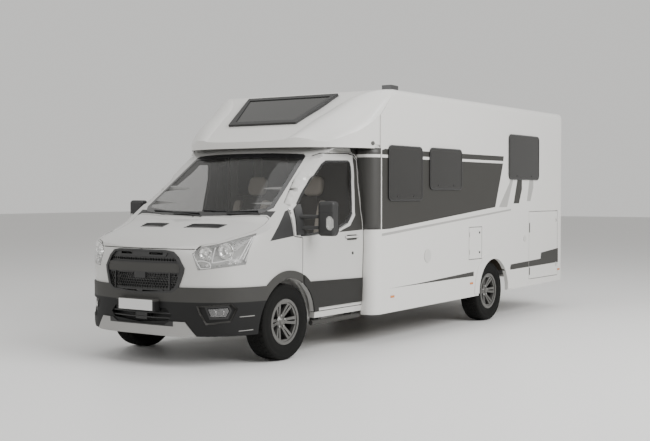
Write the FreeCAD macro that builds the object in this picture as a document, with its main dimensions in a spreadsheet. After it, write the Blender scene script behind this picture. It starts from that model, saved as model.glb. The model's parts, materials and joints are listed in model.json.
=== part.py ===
import FreeCAD, Part
import math
import os
from FreeCAD import Placement, Rotation, Vector

# Semi-integrated motorhome on a front-engined van cab, in millimetres.
# It faces -Y, its left side is +X, and Z is up from the floor.
# Every piece is drawn with Y measured back from the front axle, and its
# placement then moves it so that the origin is under the middle of the vehicle.

DIMENSIONS = {
    # overall
    "overall_length": 7400,
    "front_overhang": 1020,
    "wheelbase": 4100,
    "body_width": 2320,
    "roof_height": 2700,
    "panel_wall": 35,
    "fit_gap": 8,
    "overrun": 20,
    # wheels
    "tyre_radius": 366,
    "tyre_width": 235,
    "tread_width": 196,
    "bead_radius": 203,
    "flange_radius": 219,
    "flange_width": 9,
    "rim_width": 202,
    "barrel_wall": 12,
    "rim_face_set": 52,
    "rim_face": 24,
    "hub_cap_radius": 34,
    "front_track_half": 866,
    "rear_track_half": 990,
    # cab skin
    "cab_half_width": 1030,
    "cab_length": 1340,
    "cab_height": 2055,
    "cab_sill_height": 365,
    "cab_wall": 62,
    "seal_gap": 0.3,
    "seal_lap": 15,
    "bonnet_wall": 30,
    "bonnet_crown": 70,
    "cowl_crown": 28,
    "screen_sweep": 140,
    "screen_thickness": 6,
    "trim_thickness": 14,
    "bumper_bottom": 292,
    "bumper_wall": 30,
    "skid_proud": 10,
    "plate_width": 480,
    "plate_height": 114,
    "grille_pitch": 31,
    "grille_web": 5,
    "grille_depth": 8,
    # front arches
    "arch_radius": 415,
    "flare_radius": 490,
    "arch_lip_place": 930,
    "house_radius": 465,
    "house_wall": 15,
    "house_inner": 520,
    # cab doors
    "door_front": 215,
    "door_rear": 1276,
    "door_bottom": 430,
    "door_wall": 50,
    "door_glass_thickness": 6,
    # front cap
    "cap_bottom": 2055,
    "cap_wall": 40,
    "cap_seam": 1420,
    "cap_roof_seam": 1750,
    "skylight_frame": 60,
    # living body
    "floor_height": 600,
    "floor_thickness": 60,
    "roof_edge_radius": 70,
    "rear_corner_radius": 120,
    "rear_cap_depth": 130,
    "skirt_front_height": 320,
    "skirt_rear_height": 368,
    "rear_arch_radius": 407,
    "rear_arch_trim": 120,
    # chassis
    "rail_place": 430,
    "rail_width": 80,
    "rail_height": 160,
    "rail_front": 720,
    "arm_bottom": 205,
    "arm_thickness": 30,
    "arm_half": 40,
    "ball_radius": 20,
    "ball_place": 765,
    "strut_top_place": 616,
    "strut_radius": 25,
    "brake_radius": 150,
    "brake_thickness": 24,
    "hub_radius": 60,
    "axle_radius": 45,
}


class Size:
    """A length with its number and the expression that gives it in the sheet."""

    def __init__(self, number, text):
        self.number = float(number)
        self.text = text

    def __add__(self, other):
        return Size(self.number + other.number, "(%s + %s)" % (self.text, other.text))

    def __sub__(self, other):
        return Size(self.number - other.number, "(%s - %s)" % (self.text, other.text))

    def __mul__(self, share):
        return Size(self.number * share, "(%s * %r)" % (self.text, share))

    __rmul__ = __mul__

    def __truediv__(self, share):
        return Size(self.number / share, "(%s / %r)" % (self.text, share))

    def __neg__(self):
        return Size(-self.number, "(-1 * %s)" % self.text)


class Sheet:
    """The driving dimensions, kept in the document's spreadsheet."""

    def __init__(self, doc, dimensions):
        self.cells = doc.addObject("Spreadsheet::Sheet", "Sizes")
        for row, (alias, number) in enumerate(dimensions.items(), 1):
            self.cells.set("A%d" % row, alias)
            self.cells.set("B%d" % row, str(number))
            self.cells.setAlias("B%d" % row, alias)
        doc.recompute()

    def __getattr__(self, alias):
        return Size(getattr(self.cells, alias), "Sizes.%s" % alias)


doc = FreeCAD.newDocument("Motorhome")
S = Sheet(doc, DIMENSIONS)
ZERO = Size(0, "0")
AXLE_PLACE = S.front_overhang - S.overall_length / 2
REAR_END = S.overall_length - S.front_overhang
HALF_BODY = S.body_width / 2
nodes = []


# Helpers for bound objects

def bind(thing, path, length):
    thing.setExpression(path, length.text)


def number_of(*lengths):
    return [length.number for length in lengths]


def box(low, high):
    """A box from its lowest and highest corners."""
    made = doc.addObject("Part::Box", "Box")
    for path, a, b in zip(("Length", "Width", "Height"), low, high):
        bind(made, path, b - a)
    for path, a in zip("xyz", low):
        bind(made, "Placement.Base." + path, a)
    return made


def rod(place, radius, length, axis="z"):
    """A cylinder that starts at a place and runs along one axis."""
    made = doc.addObject("Part::Cylinder", "Rod")
    turns = {"x": Rotation(Vector(0, 1, 0), 90), "y": Rotation(Vector(-1, 0, 0), 90), "z": Rotation()}
    made.Placement = Placement(Vector(), turns[axis])
    bind(made, "Radius", radius)
    bind(made, "Height", length)
    for path, a in zip("xyz", place):
        bind(made, "Placement.Base." + path, a)
    return made


def fuse(*things):
    made = doc.addObject("Part::MultiFuse", "Fused")
    made.Shapes = list(things)
    return made


def cut(base, *tools):
    made = doc.addObject("Part::Cut", "Cut")
    made.Base = base
    made.Tool = tools[0] if len(tools) == 1 else fuse(*tools)
    return made


def mirrored(thing):
    """The same piece on the other side of the vehicle."""
    made = doc.addObject("Part::Mirroring", "Mirrored")
    made.Source = thing
    made.Normal = Vector(1, 0, 0)
    return made


SLIVER_SHARE = 0.005


def skin(shape, name="Skin"):
    """A shape made by Part's functions, as an object of the document, without cutting slivers."""
    largest = max(solid.Volume for solid in shape.Solids)
    kept = [solid for solid in shape.Solids if solid.Volume > largest * SLIVER_SHARE]
    made = doc.addObject("Part::Feature", name)
    made.Shape = kept[0] if len(kept) == 1 else Part.makeCompound(kept)
    return made


def plane_of(body, role):
    return [f for f in body.Origin.OriginFeatures if f.Role == role][0]


def sketch_on(body, role, points, name="Outline"):
    """A closed outline of straight lines, each corner bound to the sheet."""
    import Sketcher
    made = body.newObject("Sketcher::SketchObject", name)
    made.AttachmentSupport = (plane_of(body, role), [""])
    made.MapMode = "FlatFace"
    spots = [Vector(a.number, b.number, 0) for a, b in points]
    for first, second in zip(spots, spots[1:] + spots[:1]):
        made.addGeometry(Part.LineSegment(first, second))
    for index in range(len(spots)):
        following = (index + 1) % len(spots)
        made.addConstraint(Sketcher.Constraint("Coincident", index, 2, following, 1))
    for index, (a, b) in enumerate(points):
        for kind, length in (("DistanceX", a), ("DistanceY", b)):
            place = made.addConstraint(Sketcher.Constraint(kind, -1, 1, index, 1, length.number))
            bind(made, "Constraints[%d]" % place, length)
    return made


def pad(role, points, start, depth, name="Board"):
    """A body made by padding an outline from a start along the plane's normal."""
    body = doc.addObject("PartDesign::Body", name)
    outline = sketch_on(body, role, points)
    bind(outline, "AttachmentOffset.Base.z", start)
    made = body.newObject("PartDesign::Pad", "Pad")
    made.Profile = outline
    bind(made, "Length", depth)
    return body


def side_board(points, inner, outer, name="Board"):
    """A board on the left side: its outline is seen from the side, as (y, z)."""
    return pad("YZ_Plane", points, inner, outer - inner, name)


def plan_board(points, low, high, name="Board"):
    return pad("XY_Plane", points, low, high - low, name)


def revolve(points, role="XZ_Plane", name="Turned"):
    """A body turned about its sketch's horizontal axis."""
    body = doc.addObject("PartDesign::Body", name)
    outline = sketch_on(body, role, points)
    made = body.newObject("PartDesign::Revolution", "Revolution")
    made.Profile = outline
    made.ReferenceAxis = (outline, ["H_Axis"])
    made.Angle = 360
    return body


def node(name, *things):
    """One sub-part: its pieces, its name and its place on the vehicle."""
    made = doc.addObject("Part::Compound", name)
    made.Links = list(things)
    made.Label = name
    bind(made, "Placement.Base.y", AXLE_PLACE)
    nodes.append(made)
    return made


def at(thing, place):
    """Move a piece to a place given as three lengths."""
    for path, a in zip("xyz", place):
        bind(thing, "Placement.Base." + path, a)
    return thing


# Helpers for free-form skins

def polygon_prism(points, axis, low, high):
    """A prism with its outline in the plane across an axis."""
    corner = {"x": lambda a, b, c: Vector(c, a, b), "y": lambda a, b, c: Vector(a, c, b),
              "z": lambda a, b, c: Vector(a, b, c)}[axis]
    spots = [corner(a, b, low) for a, b in points]
    face = Part.Face(Part.makePolygon(spots + spots[:1]))
    return face.extrude(corner(0, 0, high) - corner(0, 0, low))


def both_sides(shape):
    return shape.fuse(shape.mirror(Vector(), Vector(1, 0, 0)))


def through(points):
    curve = Part.BSplineCurve()
    curve.interpolate(points)
    return curve.toShape()


CAB_X, CAB_Y, CAB_Z = number_of(S.cab_half_width, S.cab_length, S.cab_height)

# Plan outlines of the cab's sides, as height and then half of the outline from
# the middle of the nose back, in shares of the cab's height, half width and length.
CAB_LEVEL_SHARES = (
    (0.135, ((0, -0.690), (0.485, -0.668), (0.757, -0.552), (0.883, -0.396), (0.936, -0.187), (0.958, 0.187))),
    (0.175, ((0, -0.694), (0.485, -0.672), (0.777, -0.552), (0.903, -0.388), (0.956, -0.187), (0.971, 0.187))),
    (0.365, ((0, -0.713), (0.476, -0.668), (0.777, -0.556), (0.913, -0.396), (0.971, -0.187), (0.992, 0.187))),
    (0.487, ((0, -0.705), (0.476, -0.660), (0.777, -0.560), (0.903, -0.399), (0.956, -0.187), (1.000, 0.187))),
    (0.584, ((0, -0.679), (0.437, -0.634), (0.757, -0.507), (0.898, -0.343), (0.947, -0.164), (1.000, 0.187))),
    (0.715, ((0, -0.500), (0.437, -0.470), (0.757, -0.330), (0.860, -0.150), (0.901, 0.000), (0.960, 0.187))),
    (0.856, ((0, -0.224), (0.466, -0.201), (0.718, -0.075), (0.806, 0.090), (0.854, 0.246), (0.905, 0.522))),
    (1.010, ((0, 0.000), (0.447, 0.037), (0.680, 0.224), (0.748, 0.388), (0.786, 0.522), (0.830, 0.784))),
)
# Side profile on the middle line: the bonnet, then the windscreen up to the roof.
BONNET_SHARES = ((-0.933, 0.462), (-0.713, 0.523), (-0.634, 0.557), (-0.448, 0.603), (-0.187, 0.650))
SCREEN_SHARES = ((0.142, 0.820), (0.515, 1.000))
# Where the profile is set across the cab, in shares of its half width.
CROWN_SHARES = (-1.12, -0.80, -0.42, 0, 0.42, 0.80, 1.12)


def cab_outline(height, half, inset):
    left = []
    right = []
    for index, (across, back) in enumerate(half):
        x = across * CAB_X - (inset if index else 0)
        y = back * CAB_Y + inset * (1 - index / len(half))
        right.append(Vector(x, y, height))
        if index:
            left.insert(0, Vector(-x, y, height))
    rear = CAB_Y + (CAB_Y if inset > 0 else 0) * 0.2
    side = right[-1].x
    corners = [right[-1], Vector(side, rear, height), Vector(-side, rear, height), left[0]]
    edges = [through(left + right)]
    edges += [Part.makeLine(a, b) for a, b in zip(corners, corners[1:])]
    return Part.Wire(edges)


def cab_profile(share, inset):
    """The side profile at one place across the cab, lowered and set back by an inset."""
    x = share * CAB_X
    bow = (share / CROWN_SHARES[-2]) ** 2
    crowns = (S.bonnet_crown, S.cowl_crown, S.screen_sweep)
    front_drop, cowl_drop, sweep = [bow * size.number for size in crowns]
    bonnet = []
    for index, (back, up) in enumerate(BONNET_SHARES):
        last = index == len(BONNET_SHARES) - 1
        y = back * CAB_Y + (sweep / 2 if last else 0)
        drop = cowl_drop if last else front_drop
        bonnet.append(Vector(x, y + inset * (0.3 if last else 0), up * CAB_Z - drop - inset))
    screen = [bonnet[-1]]
    for back, up in SCREEN_SHARES:
        screen.append(Vector(x, back * CAB_Y + sweep + inset * 0.8, up * CAB_Z - inset * 0.9))
    low = S.cab_sill_height.number / 2
    rear = CAB_Y * 1.3
    corners = [screen[-1], Vector(x, rear, screen[-1].z), Vector(x, rear, low),
               Vector(x, bonnet[0].y, low), bonnet[0]]
    edges = [through(bonnet), through(screen)]
    edges += [Part.makeLine(a, b) for a, b in zip(corners, corners[1:])]
    return Part.Wire(edges)


cab_blocks = {}


def cab_block(inset=0.0):
    """The whole cab as a solid, moved in from its outer skin by an inset."""
    if inset not in cab_blocks:
        sides = Part.makeLoft([cab_outline(z * CAB_Z, half, inset) for z, half in CAB_LEVEL_SHARES], True)
        top = Part.makeLoft([cab_profile(share, inset) for share in CROWN_SHARES], True)
        cab_blocks[inset] = sides.common(top)
    return cab_blocks[inset]


def cab_layer(outer, inner, region):
    """A layer of the cab's skin between two insets, inside a region."""
    return cab_block(outer).common(region).cut(cab_block(inner))


# Wheels, steering and axles

def tyre_outline():
    half_bead = S.rim_width / 2 - S.flange_width
    half_wide = S.tyre_width / 2
    half_tread = S.tread_width / 2
    belly = (S.tyre_radius + S.bead_radius) / 2
    shoulder = S.tyre_radius - (S.tyre_radius - S.bead_radius) * 0.12
    lift = (S.tyre_radius - S.bead_radius) * 0.03
    right = [(half_bead, S.bead_radius), (half_bead, S.flange_radius), (half_wide, belly),
             (half_wide - lift, shoulder - lift * 3), (half_tread, S.tyre_radius - lift)]
    crown = [(half_tread * 0.6, S.tyre_radius), (half_tread * -0.6, S.tyre_radius)]
    return right + crown + [(-a, b) for a, b in reversed(right)]


def rim_outline():
    """The barrel with its flanges, then the face that carries the spokes."""
    half = S.rim_width / 2
    inside = S.bead_radius - S.barrel_wall
    well = S.bead_radius - S.barrel_wall * 1.6
    bead = half - S.flange_width
    return [(-half, inside), (-half, S.flange_radius), (-bead, S.flange_radius), (-bead, S.bead_radius),
            (-bead + S.barrel_wall * 2, S.bead_radius), (-bead + S.barrel_wall * 3.5, well + S.barrel_wall),
            (bead - S.barrel_wall * 5, well + S.barrel_wall), (bead - S.barrel_wall * 3, S.bead_radius),
            (bead, S.bead_radius), (bead, S.flange_radius), (half, S.flange_radius), (half, inside),
            (bead - S.barrel_wall * 3, inside), (bead - S.barrel_wall * 5, well),
            (-bead + S.barrel_wall * 3.5, well)]


def rim_face_outline():
    half = S.rim_width / 2
    outer = half - S.flange_width
    hub = half - S.rim_face_set
    rim_inside = S.bead_radius - S.barrel_wall
    dish = S.rim_face * 0.6
    return [(hub - S.rim_face, ZERO), (hub + dish, ZERO), (hub + dish, S.hub_cap_radius),
            (hub, S.hub_radius), (outer, rim_inside - S.rim_face * 0.3),
            (outer, rim_inside + S.barrel_wall / 2), (outer - S.rim_face, rim_inside + S.barrel_wall / 2),
            (hub - S.rim_face, S.hub_radius * 1.3)]


SPOKE_PAIRS = 6
# A window between two pairs of spokes and the slot inside a pair, as angle and share
# of the way from hub to rim.
WINDOW_SHARES = ((-8, 0.34), (8, 0.34), (17, 0.93), (-17, 0.93))
SLOT_SHARES = ((-2.4, 0.46), (2.4, 0.46), (3.2, 0.90), (-3.2, 0.90))


def face_cutter(shares, turn):
    """A prism through the rim's face, from a four-sided outline in angle and radius."""
    reach = S.bead_radius - S.barrel_wall
    half = S.rim_width
    points = []
    for degrees, share in shares:
        angle = math.radians(degrees + turn)
        points.append((reach * (share * math.cos(angle)), reach * (share * math.sin(angle))))
    return pad("YZ_Plane", points, -half / 2, half * 1.2, "Opening")


def make_wheel(place, name, outward):
    barrel = revolve(rim_outline(), name="Barrel")
    face = revolve(rim_face_outline(), name="Face")
    cutters = []
    step = 360 / SPOKE_PAIRS
    for index in range(SPOKE_PAIRS):
        cutters.append(face_cutter(WINDOW_SHARES, step * index + step / 2))
        cutters.append(face_cutter(SLOT_SHARES, step * index))
    whole = fuse(barrel, cut(face, *cutters))
    pieces = {"tyre_" + name: revolve(tyre_outline(), name="Tyre"), "rim_" + name: whole}
    for label, piece in pieces.items():
        set_piece = piece if outward > 0 else mirrored(piece)
        at(set_piece, place)
        node(label, set_piece)


def knuckle():
    """The left upright: strut, ball joints, hub and brake disc."""
    hub_inner = S.front_track_half + S.rim_width / 2 - S.rim_face_set - S.rim_face
    ball_height = S.arm_bottom + S.arm_thickness + S.ball_radius
    top_ball = S.ball_radius * 1.5
    top_height = S.tyre_radius + S.house_radius - top_ball
    low = Vector(*number_of(S.ball_place, ZERO, ball_height))
    high = Vector(*number_of(S.strut_top_place, ZERO, top_height))
    strut = Part.makeCylinder(S.strut_radius.number, (high - low).Length, low, high - low)
    balls = [Part.makeSphere(S.ball_radius.number, low), Part.makeSphere(top_ball.number, high)]
    stub_start = S.ball_place - S.ball_radius * 3
    along = Vector(1, 0, 0)
    hub_start, hub_end, hub_height = number_of(stub_start, hub_inner, S.tyre_radius)
    hub = Part.makeCylinder(S.axle_radius.number, hub_end - hub_start, Vector(hub_start, 0, hub_height), along)
    disc_start = hub_end - (S.brake_thickness * 3).number
    disc = Part.makeCylinder(S.brake_radius.number, S.brake_thickness.number,
                             Vector(disc_start, 0, hub_height), along)
    return skin(strut.fuse(balls + [hub, disc]), "Knuckle")


for side, outward in (("left", 1), ("right", -1)):
    make_wheel((S.front_track_half * outward, ZERO, S.tyre_radius), "front_" + side, outward)
    make_wheel((S.rear_track_half * outward, S.wheelbase, S.tyre_radius), "rear_" + side, outward)
left_knuckle = knuckle()
node("knuckle_left", left_knuckle)
node("knuckle_right", mirrored(left_knuckle))


# Chassis

RAIL_TOP = S.floor_height
RAIL_BOTTOM = S.floor_height - S.rail_height
RAIL_INNER = S.rail_place - S.rail_width / 2
RAIL_OUTER = S.rail_place + S.rail_width / 2
RAIL_REAR = REAR_END - S.rear_cap_depth * 3
AXLE_HALF = S.rear_track_half + S.rim_width / 2 - S.rim_face_set - S.rim_face
CROSSMEMBER_SHARES = (0.12, 0.30, 0.47, 0.78, 0.95)


def chassis():
    members = []
    for outward in (1, -1):
        low, high = sorted((RAIL_INNER * outward, RAIL_OUTER * outward), key=lambda a: a.number)
        members.append(box((low, -S.rail_front, RAIL_BOTTOM), (high, RAIL_REAR, RAIL_TOP)))
    for share in CROSSMEMBER_SHARES:
        back = RAIL_REAR * share
        members.append(box((-RAIL_INNER, back, RAIL_BOTTOM + S.rail_width / 4),
                           (RAIL_INNER, back + S.rail_width, RAIL_TOP - S.rail_width / 4)))
    front = S.arm_half * 1.5
    members.append(box((-RAIL_OUTER, -front * 2, S.arm_bottom), (RAIL_OUTER, front, RAIL_BOTTOM)))
    arm_end = S.ball_place + S.ball_radius
    arm_top = S.arm_bottom + S.arm_thickness
    members.append(box((-arm_end, -S.arm_half, S.arm_bottom), (arm_end, S.arm_half, arm_top)))
    bar = S.rail_width / 2
    members.append(box((-S.hub_radius * 9, -S.rail_front - bar, RAIL_BOTTOM),
                       (S.hub_radius * 9, -S.rail_front, RAIL_TOP)))
    frame = fuse(*members)
    holes = []
    for outward in (1, -1):
        for back in (1, 2):
            for up in (0.3, 0.7):
                start = RAIL_INNER - S.overrun if outward > 0 else -RAIL_OUTER - S.overrun
                place = (start, RAIL_REAR - S.rail_width * back, RAIL_BOTTOM + S.rail_height * up)
                holes.append(rod(place, S.fit_gap * 0.8125, S.rail_width + S.overrun * 2, "x"))
    return cut(frame, *holes)


def rear_suspension():
    top = S.tyre_radius + S.axle_radius
    leaf = (RAIL_BOTTOM - top) / 2
    reach = S.axle_radius * 13
    pieces = [rod((-AXLE_HALF, S.wheelbase, S.tyre_radius), S.axle_radius, AXLE_HALF * 2, "x")]
    for outward in (1, -1):
        middle = S.rail_place * outward
        half = S.rail_width / 2.5
        pieces.append(box((middle - half, S.wheelbase - reach, top - leaf),
                          (middle + half, S.wheelbase + reach, top + leaf)))
        for end in (-1, 1):
            back = S.wheelbase + reach * (end * 0.94)
            pieces.append(box((middle - half, back - leaf * 2, top + leaf / 2),
                              (middle + half, back + leaf * 2, RAIL_BOTTOM)))
        drum = S.brake_radius * 0.85
        start = AXLE_HALF - S.brake_thickness * 4 if outward > 0 else -AXLE_HALF
        pieces.append(rod((start, S.wheelbase, S.tyre_radius), drum, S.brake_thickness * 4, "x"))
    return fuse(*pieces)


node("chassis_frame", chassis())
node("rear_axle", rear_suspension())
engine_half = S.rail_place * 0.7
engine_rear = -S.hub_radius * 1.5
node("engine_block", box((-engine_half, -S.rail_front + S.hub_radius, RAIL_BOTTOM),
                         (engine_half, engine_rear, S.floor_height + S.rail_place)))
tank_half = RAIL_INNER - S.fit_gap
node("underfloor_tanks", box((-tank_half, S.wheelbase * 0.5, RAIL_BOTTOM - S.rail_width),
                             (tank_half, S.wheelbase * 0.66, RAIL_TOP)))


# Regions that split the cab's skin, in shares of the cab's length and height

DOOR_EDGE_SHARES = ((0.080, 0.574), (0.054, 0.701), (0.073, 0.725), (0.478, 0.940), (0.567, 0.968),
                    (0.843, 0.970), (0.907, 0.963))
DOOR_SHOULDER_SHARE = 0.567
DOOR_TOP_REAR_SHARE = 0.939
DOOR_GLASS_SHARES = ((0.145, 0.574), (0.300, 0.577), (0.612, 0.599), (0.740, 0.626), (0.819, 0.671),
                     (0.866, 0.761), (0.893, 0.860), (0.893, 0.905), (0.850, 0.932), (0.575, 0.930),
                     (0.520, 0.915), (0.145, 0.725))
QUARTER_SHARES = ((-0.185, 0.556), (0.070, 0.574), (0.046, 0.696), (0.010, 0.690))
SCREEN_EDGE_SHARES = ((0, 0.664), (0.42, 0.668), (0.74, 0.682), (0.80, 0.705), (0.705, 0.958),
                      (0.67, 0.968), (0.35, 0.973), (0, 0.974))
BONNET_EDGE_SHARES = ((0, -0.90), (0.56, -0.90), (0.60, -0.62), (0.73, -0.555), (0.835, -0.26),
                      (0.845, -0.085), (0.79, -0.070), (0.42, -0.140), (0, -0.165))
LAMP_SHARES = ((-0.122, 0.506), (-0.072, 0.434), (0.122, 0.446), (0.350, 0.458), (0.377, 0.520),
               (0.449, 0.593), (0.093, 0.548), (-0.054, 0.536))
FOG_POCKET_SHARES = ((-0.085, 0.276), (0.222, 0.288), (0.276, 0.262), (0.214, 0.204), (-0.004, 0.194),
                     (-0.060, 0.240))
FOG_LENS_SHARES = ((0.015, 0.263), (0.186, 0.268), (0.200, 0.255), (0.176, 0.230), (0.043, 0.228))
CORNER_TURN = 40
GRILLE_SHARES = ((0, 0.522), (0.280, 0.521), (0.365, 0.514), (0.420, 0.490), (0.480, 0.441), (0.470, 0.415),
                 (0.425, 0.352), (0.370, 0.332), (0, 0.322))
GRILLE_MIDDLE_SHARE = 0.425
GRILLE_BAR_SHARES = (((0, 0.464), (0.50, 0.464), (0.50, 0.4185), (0, 0.4185)),
                     ((0, 0.520), (0.320, 0.520), (0.285, 0.490), (0, 0.490)),
                     ((0, 0.345), (0.262, 0.345), (0.285, 0.320), (0, 0.320)),
                     ((0, 0.420), (0.068, 0.420), (0.068, 0.392), (0, 0.392)))
GRILLE_RIB_SHARES = (((0.327, 0.325), (0.339, 0.325), (0.339, 0.43), (0.327, 0.43)),)
GRILLE_SLOT_SHARES = (((0.105, 0.4985), (0.255, 0.4985), (0.255, 0.5085), (0.105, 0.5085)),
                      ((0.030, 0.3285), (0.215, 0.3285), (0.215, 0.3385), (0.030, 0.3385)))
GRILLE_WINDOW_SHARES = (((0, 0.4885), (0.40, 0.4885), (0.43, 0.4655), (0, 0.4655)),
                        ((0, 0.417), (0.44, 0.417), (0.39, 0.346), (0, 0.346)))
INTAKE_SHARES = ((0, 0.262), (0.31, 0.262), (0.37, 0.232), (0.33, 0.208), (0, 0.193))
SKID_SHARES = ((0, 0.188), (0.290, 0.188), (0.345, 0.205), (0.500, 0.205), (0.600, 0.143), (0.560, 0.1385),
               (0, 0.1385))
FRONT = -2 * CAB_Y
HIGH = 2 * CAB_Z
WIDE = 2 * CAB_X
GAP = S.fit_gap.number


def side_shares(shares):
    return [(back * CAB_Y, up * CAB_Z) for back, up in shares]


def both_halves(half):
    """A symmetric outline from its right half, which starts and ends on the middle."""
    return half + [(-a, b) for a, b in reversed(half) if a > 0]


def front_shares(shares):
    return both_halves([(across * CAB_X, up * CAB_Z) for across, up in shares])


def door_outline(grow=0.0):
    """The left door seen from the side, or the opening for it with a gap all round."""
    front, rear, low = number_of(S.door_front, S.door_rear, S.door_bottom)
    upper = side_shares(DOOR_EDGE_SHARES)
    outline = [(front, low), (front, DOOR_SHOULDER_SHARE * CAB_Z)] + upper
    outline += [(rear, DOOR_TOP_REAR_SHARE * CAB_Z), (rear, low)]
    if not grow:
        return outline
    wire = Part.makePolygon([Vector(a, b, 0) for a, b in outline + outline[:1]])
    wider = wire.makeOffset2D(grow, 2)
    corners = [(v.Point.x, v.Point.y) for v in wider.OrderedVertexes]
    return corners


def door_prism(grow=0.0):
    """The door's region, with its rear edge drafted so that it can swing out."""
    low, high = CAB_X * 0.76, CAB_X * 1.2
    prism = polygon_prism(door_outline(grow), "x", low, high)
    rear = S.door_rear.number + grow
    slope = S.door_wall.number / CAB_X / 0.3
    wedge = [(high, rear + (high - CAB_X) * slope), (low, rear - (CAB_X - low) * slope),
             (low, rear + CAB_X), (high, rear + CAB_X)]
    return prism.cut(polygon_prism(wedge, "z", 0, HIGH))


def arch_cylinder(radius, start, end):
    middle = Vector(start, 0, S.tyre_radius.number)
    return Part.makeCylinder(radius, end - start, middle, Vector(1, 0, 0))


def corner_prism(shares, grow=0.0):
    """An outline on the left front corner, seen along a line turned out from straight ahead."""
    turn = math.radians(CORNER_TURN)
    across = Vector(math.cos(turn), math.sin(turn), 0)
    ahead = Vector(math.sin(turn), -math.cos(turn), 0)
    spots = [across * (a * CAB_X) + Vector(0, 0, up * CAB_Z) + ahead * (CAB_X * 0.4) for a, up in shares]
    wire = Part.makePolygon(spots + spots[:1])
    if grow:
        wire = wire.makeOffset2D(grow, 2)
    return Part.Face(wire).extrude(ahead * CAB_X)


def grown(points, grow, axis, low, high):
    """A prism on an outline moved out by a gap, or in by a negative one."""
    wire = Part.makePolygon([Vector(a, b, 0) for a, b in points + points[:1]])
    wider = wire.makeOffset2D(grow, 2)
    return polygon_prism([(v.Point.x, v.Point.y) for v in wider.OrderedVertexes], axis, low, high)


cab_wall, door_wall, bonnet_wall, trim = number_of(S.cab_wall, S.door_wall, S.bonnet_wall, S.trim_thickness)
seal_gap, bumper_wall = number_of(S.seal_gap, S.bumper_wall)
sill = S.cab_sill_height.number
bumper_top = CAB_Z * 0.357
belt = CAB_Z * 0.556
wing_rear = S.door_front.number - GAP

door_hole = both_sides(door_prism(GAP))
screen_hole = polygon_prism(front_shares(SCREEN_EDGE_SHARES), "y", -CAB_Y * 0.3, CAB_Y * 0.8)
bonnet_points = both_halves([(across * CAB_X, back * CAB_Y) for across, back in BONNET_EDGE_SHARES])
BONNET_LOW = CAB_Z * 0.5235
bonnet_region = polygon_prism(bonnet_points, "z", BONNET_LOW, HIGH)
quarter_prism = polygon_prism(side_shares(QUARTER_SHARES), "x", -WIDE, WIDE)
lamps_region = both_sides(corner_prism(LAMP_SHARES))
grille_region = polygon_prism(front_shares(GRILLE_SHARES), "y", FRONT, -CAB_Y * 0.5)
bumper_low = S.bumper_bottom.number
bumper_side = [(FRONT, bumper_low), (FRONT, bumper_top), (0, bumper_top), (0, bumper_low)]
bumper_region = polygon_prism(bumper_side, "x", -WIDE, WIDE)
wing_side = [(FRONT, sill), (FRONT, CAB_Z * 0.73), (-CAB_Y * 0.1, CAB_Z * 0.69),
             (CAB_Y * 0.010, CAB_Z * 0.690), (CAB_Y * 0.046, CAB_Z * 0.696), (CAB_Y * 0.072, CAB_Z * 0.570),
             (wing_rear, DOOR_SHOULDER_SHARE * CAB_Z - GAP), (wing_rear, sill)]
wing_region = polygon_prism(wing_side, "x", -WIDE, WIDE)
cowl_points = [(0, 0.25), (0.84, 0.25), (0.845, -0.075), (0.79, -0.063), (0.42, -0.133), (0, -0.158)]
cowl_outline = both_halves([(across * CAB_X, back * CAB_Y) for across, back in cowl_points])
cowl_region = polygon_prism(cowl_outline, "z", CAB_Z * 0.6, CAB_Z * 0.69)
arch_hole = arch_cylinder(S.arch_radius.number, -WIDE, WIDE)


def shell_layer(region):
    return cab_layer(0.0, cab_wall, region)


# Cab pieces

def cab_body():
    """Sills, pillars, roof, bulkhead and floor in one welded shell."""
    shell = cab_block(0.0).cut(cab_block(cab_wall))
    below = polygon_prism([(-WIDE, FRONT), (WIDE, FRONT), (WIDE, WIDE * 2), (-WIDE, WIDE * 2)], "z", 0, sill)
    shell = shell.cut([below, wing_region, door_hole, screen_hole, cowl_region, wheel_room()])
    room = cab_block(cab_wall - 1)
    floor_z, bulkhead, house = number_of(S.floor_height, S.hub_radius, S.house_inner)
    plate = S.bonnet_wall.number
    house_end = S.house_radius.number + S.house_wall.number
    dash_front = -bulkhead / 2
    floor_wide = Part.makeBox(WIDE * 2, CAB_Y - house_end, plate, Vector(-WIDE, house_end, floor_z))
    floor_slim = Part.makeBox(house * 2 - 2 * GAP, house_end - dash_front, plate,
                              Vector(-house + GAP, dash_front, floor_z))
    wall_low = Part.makeBox(house * 2 - 2 * GAP, plate, belt - floor_z,
                            Vector(-house + GAP, dash_front, floor_z))
    wall_top = Part.makeBox(WIDE * 2, plate, CAB_Z * 0.11, Vector(-WIDE, dash_front, belt - CAB_Z * 0.02))
    sill_top = Part.makeBox(WIDE * 2, CAB_Y - house_end, plate, Vector(-WIDE, house_end, sill))
    tunnel = Part.makeBox(house * 2, CAB_Y, plate * 2, Vector(-house, house_end - GAP, sill - GAP))
    inner = floor_wide.fuse([floor_slim, wall_low, wall_top, sill_top]).cut(tunnel).common(room)
    post = Part.makeBox(WIDE * 2, plate, floor_z - sill, Vector(-WIDE, CAB_Y - plate, sill)).common(room)
    post = post.cut(Part.makeBox(house * 2, CAB_Y, floor_z, Vector(-house, 0, 0)))
    wing_skins = wing_region.cut(cab_block(cab_wall + GAP))
    return shell.fuse([inner.cut([door_hole, wheel_room(), wing_skins]), post])


def wheel_room():
    """The space that both front wheelhouses fill, lips included."""
    lip, inner, wall, radius = number_of(S.arch_lip_place, S.house_inner, S.house_wall, S.house_radius)
    mouth = arch_cylinder(S.arch_radius.number + wall, lip - wall, WIDE)
    left = arch_cylinder(radius + wall, inner - wall, lip).fuse(mouth)
    return both_sides(left)


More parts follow.
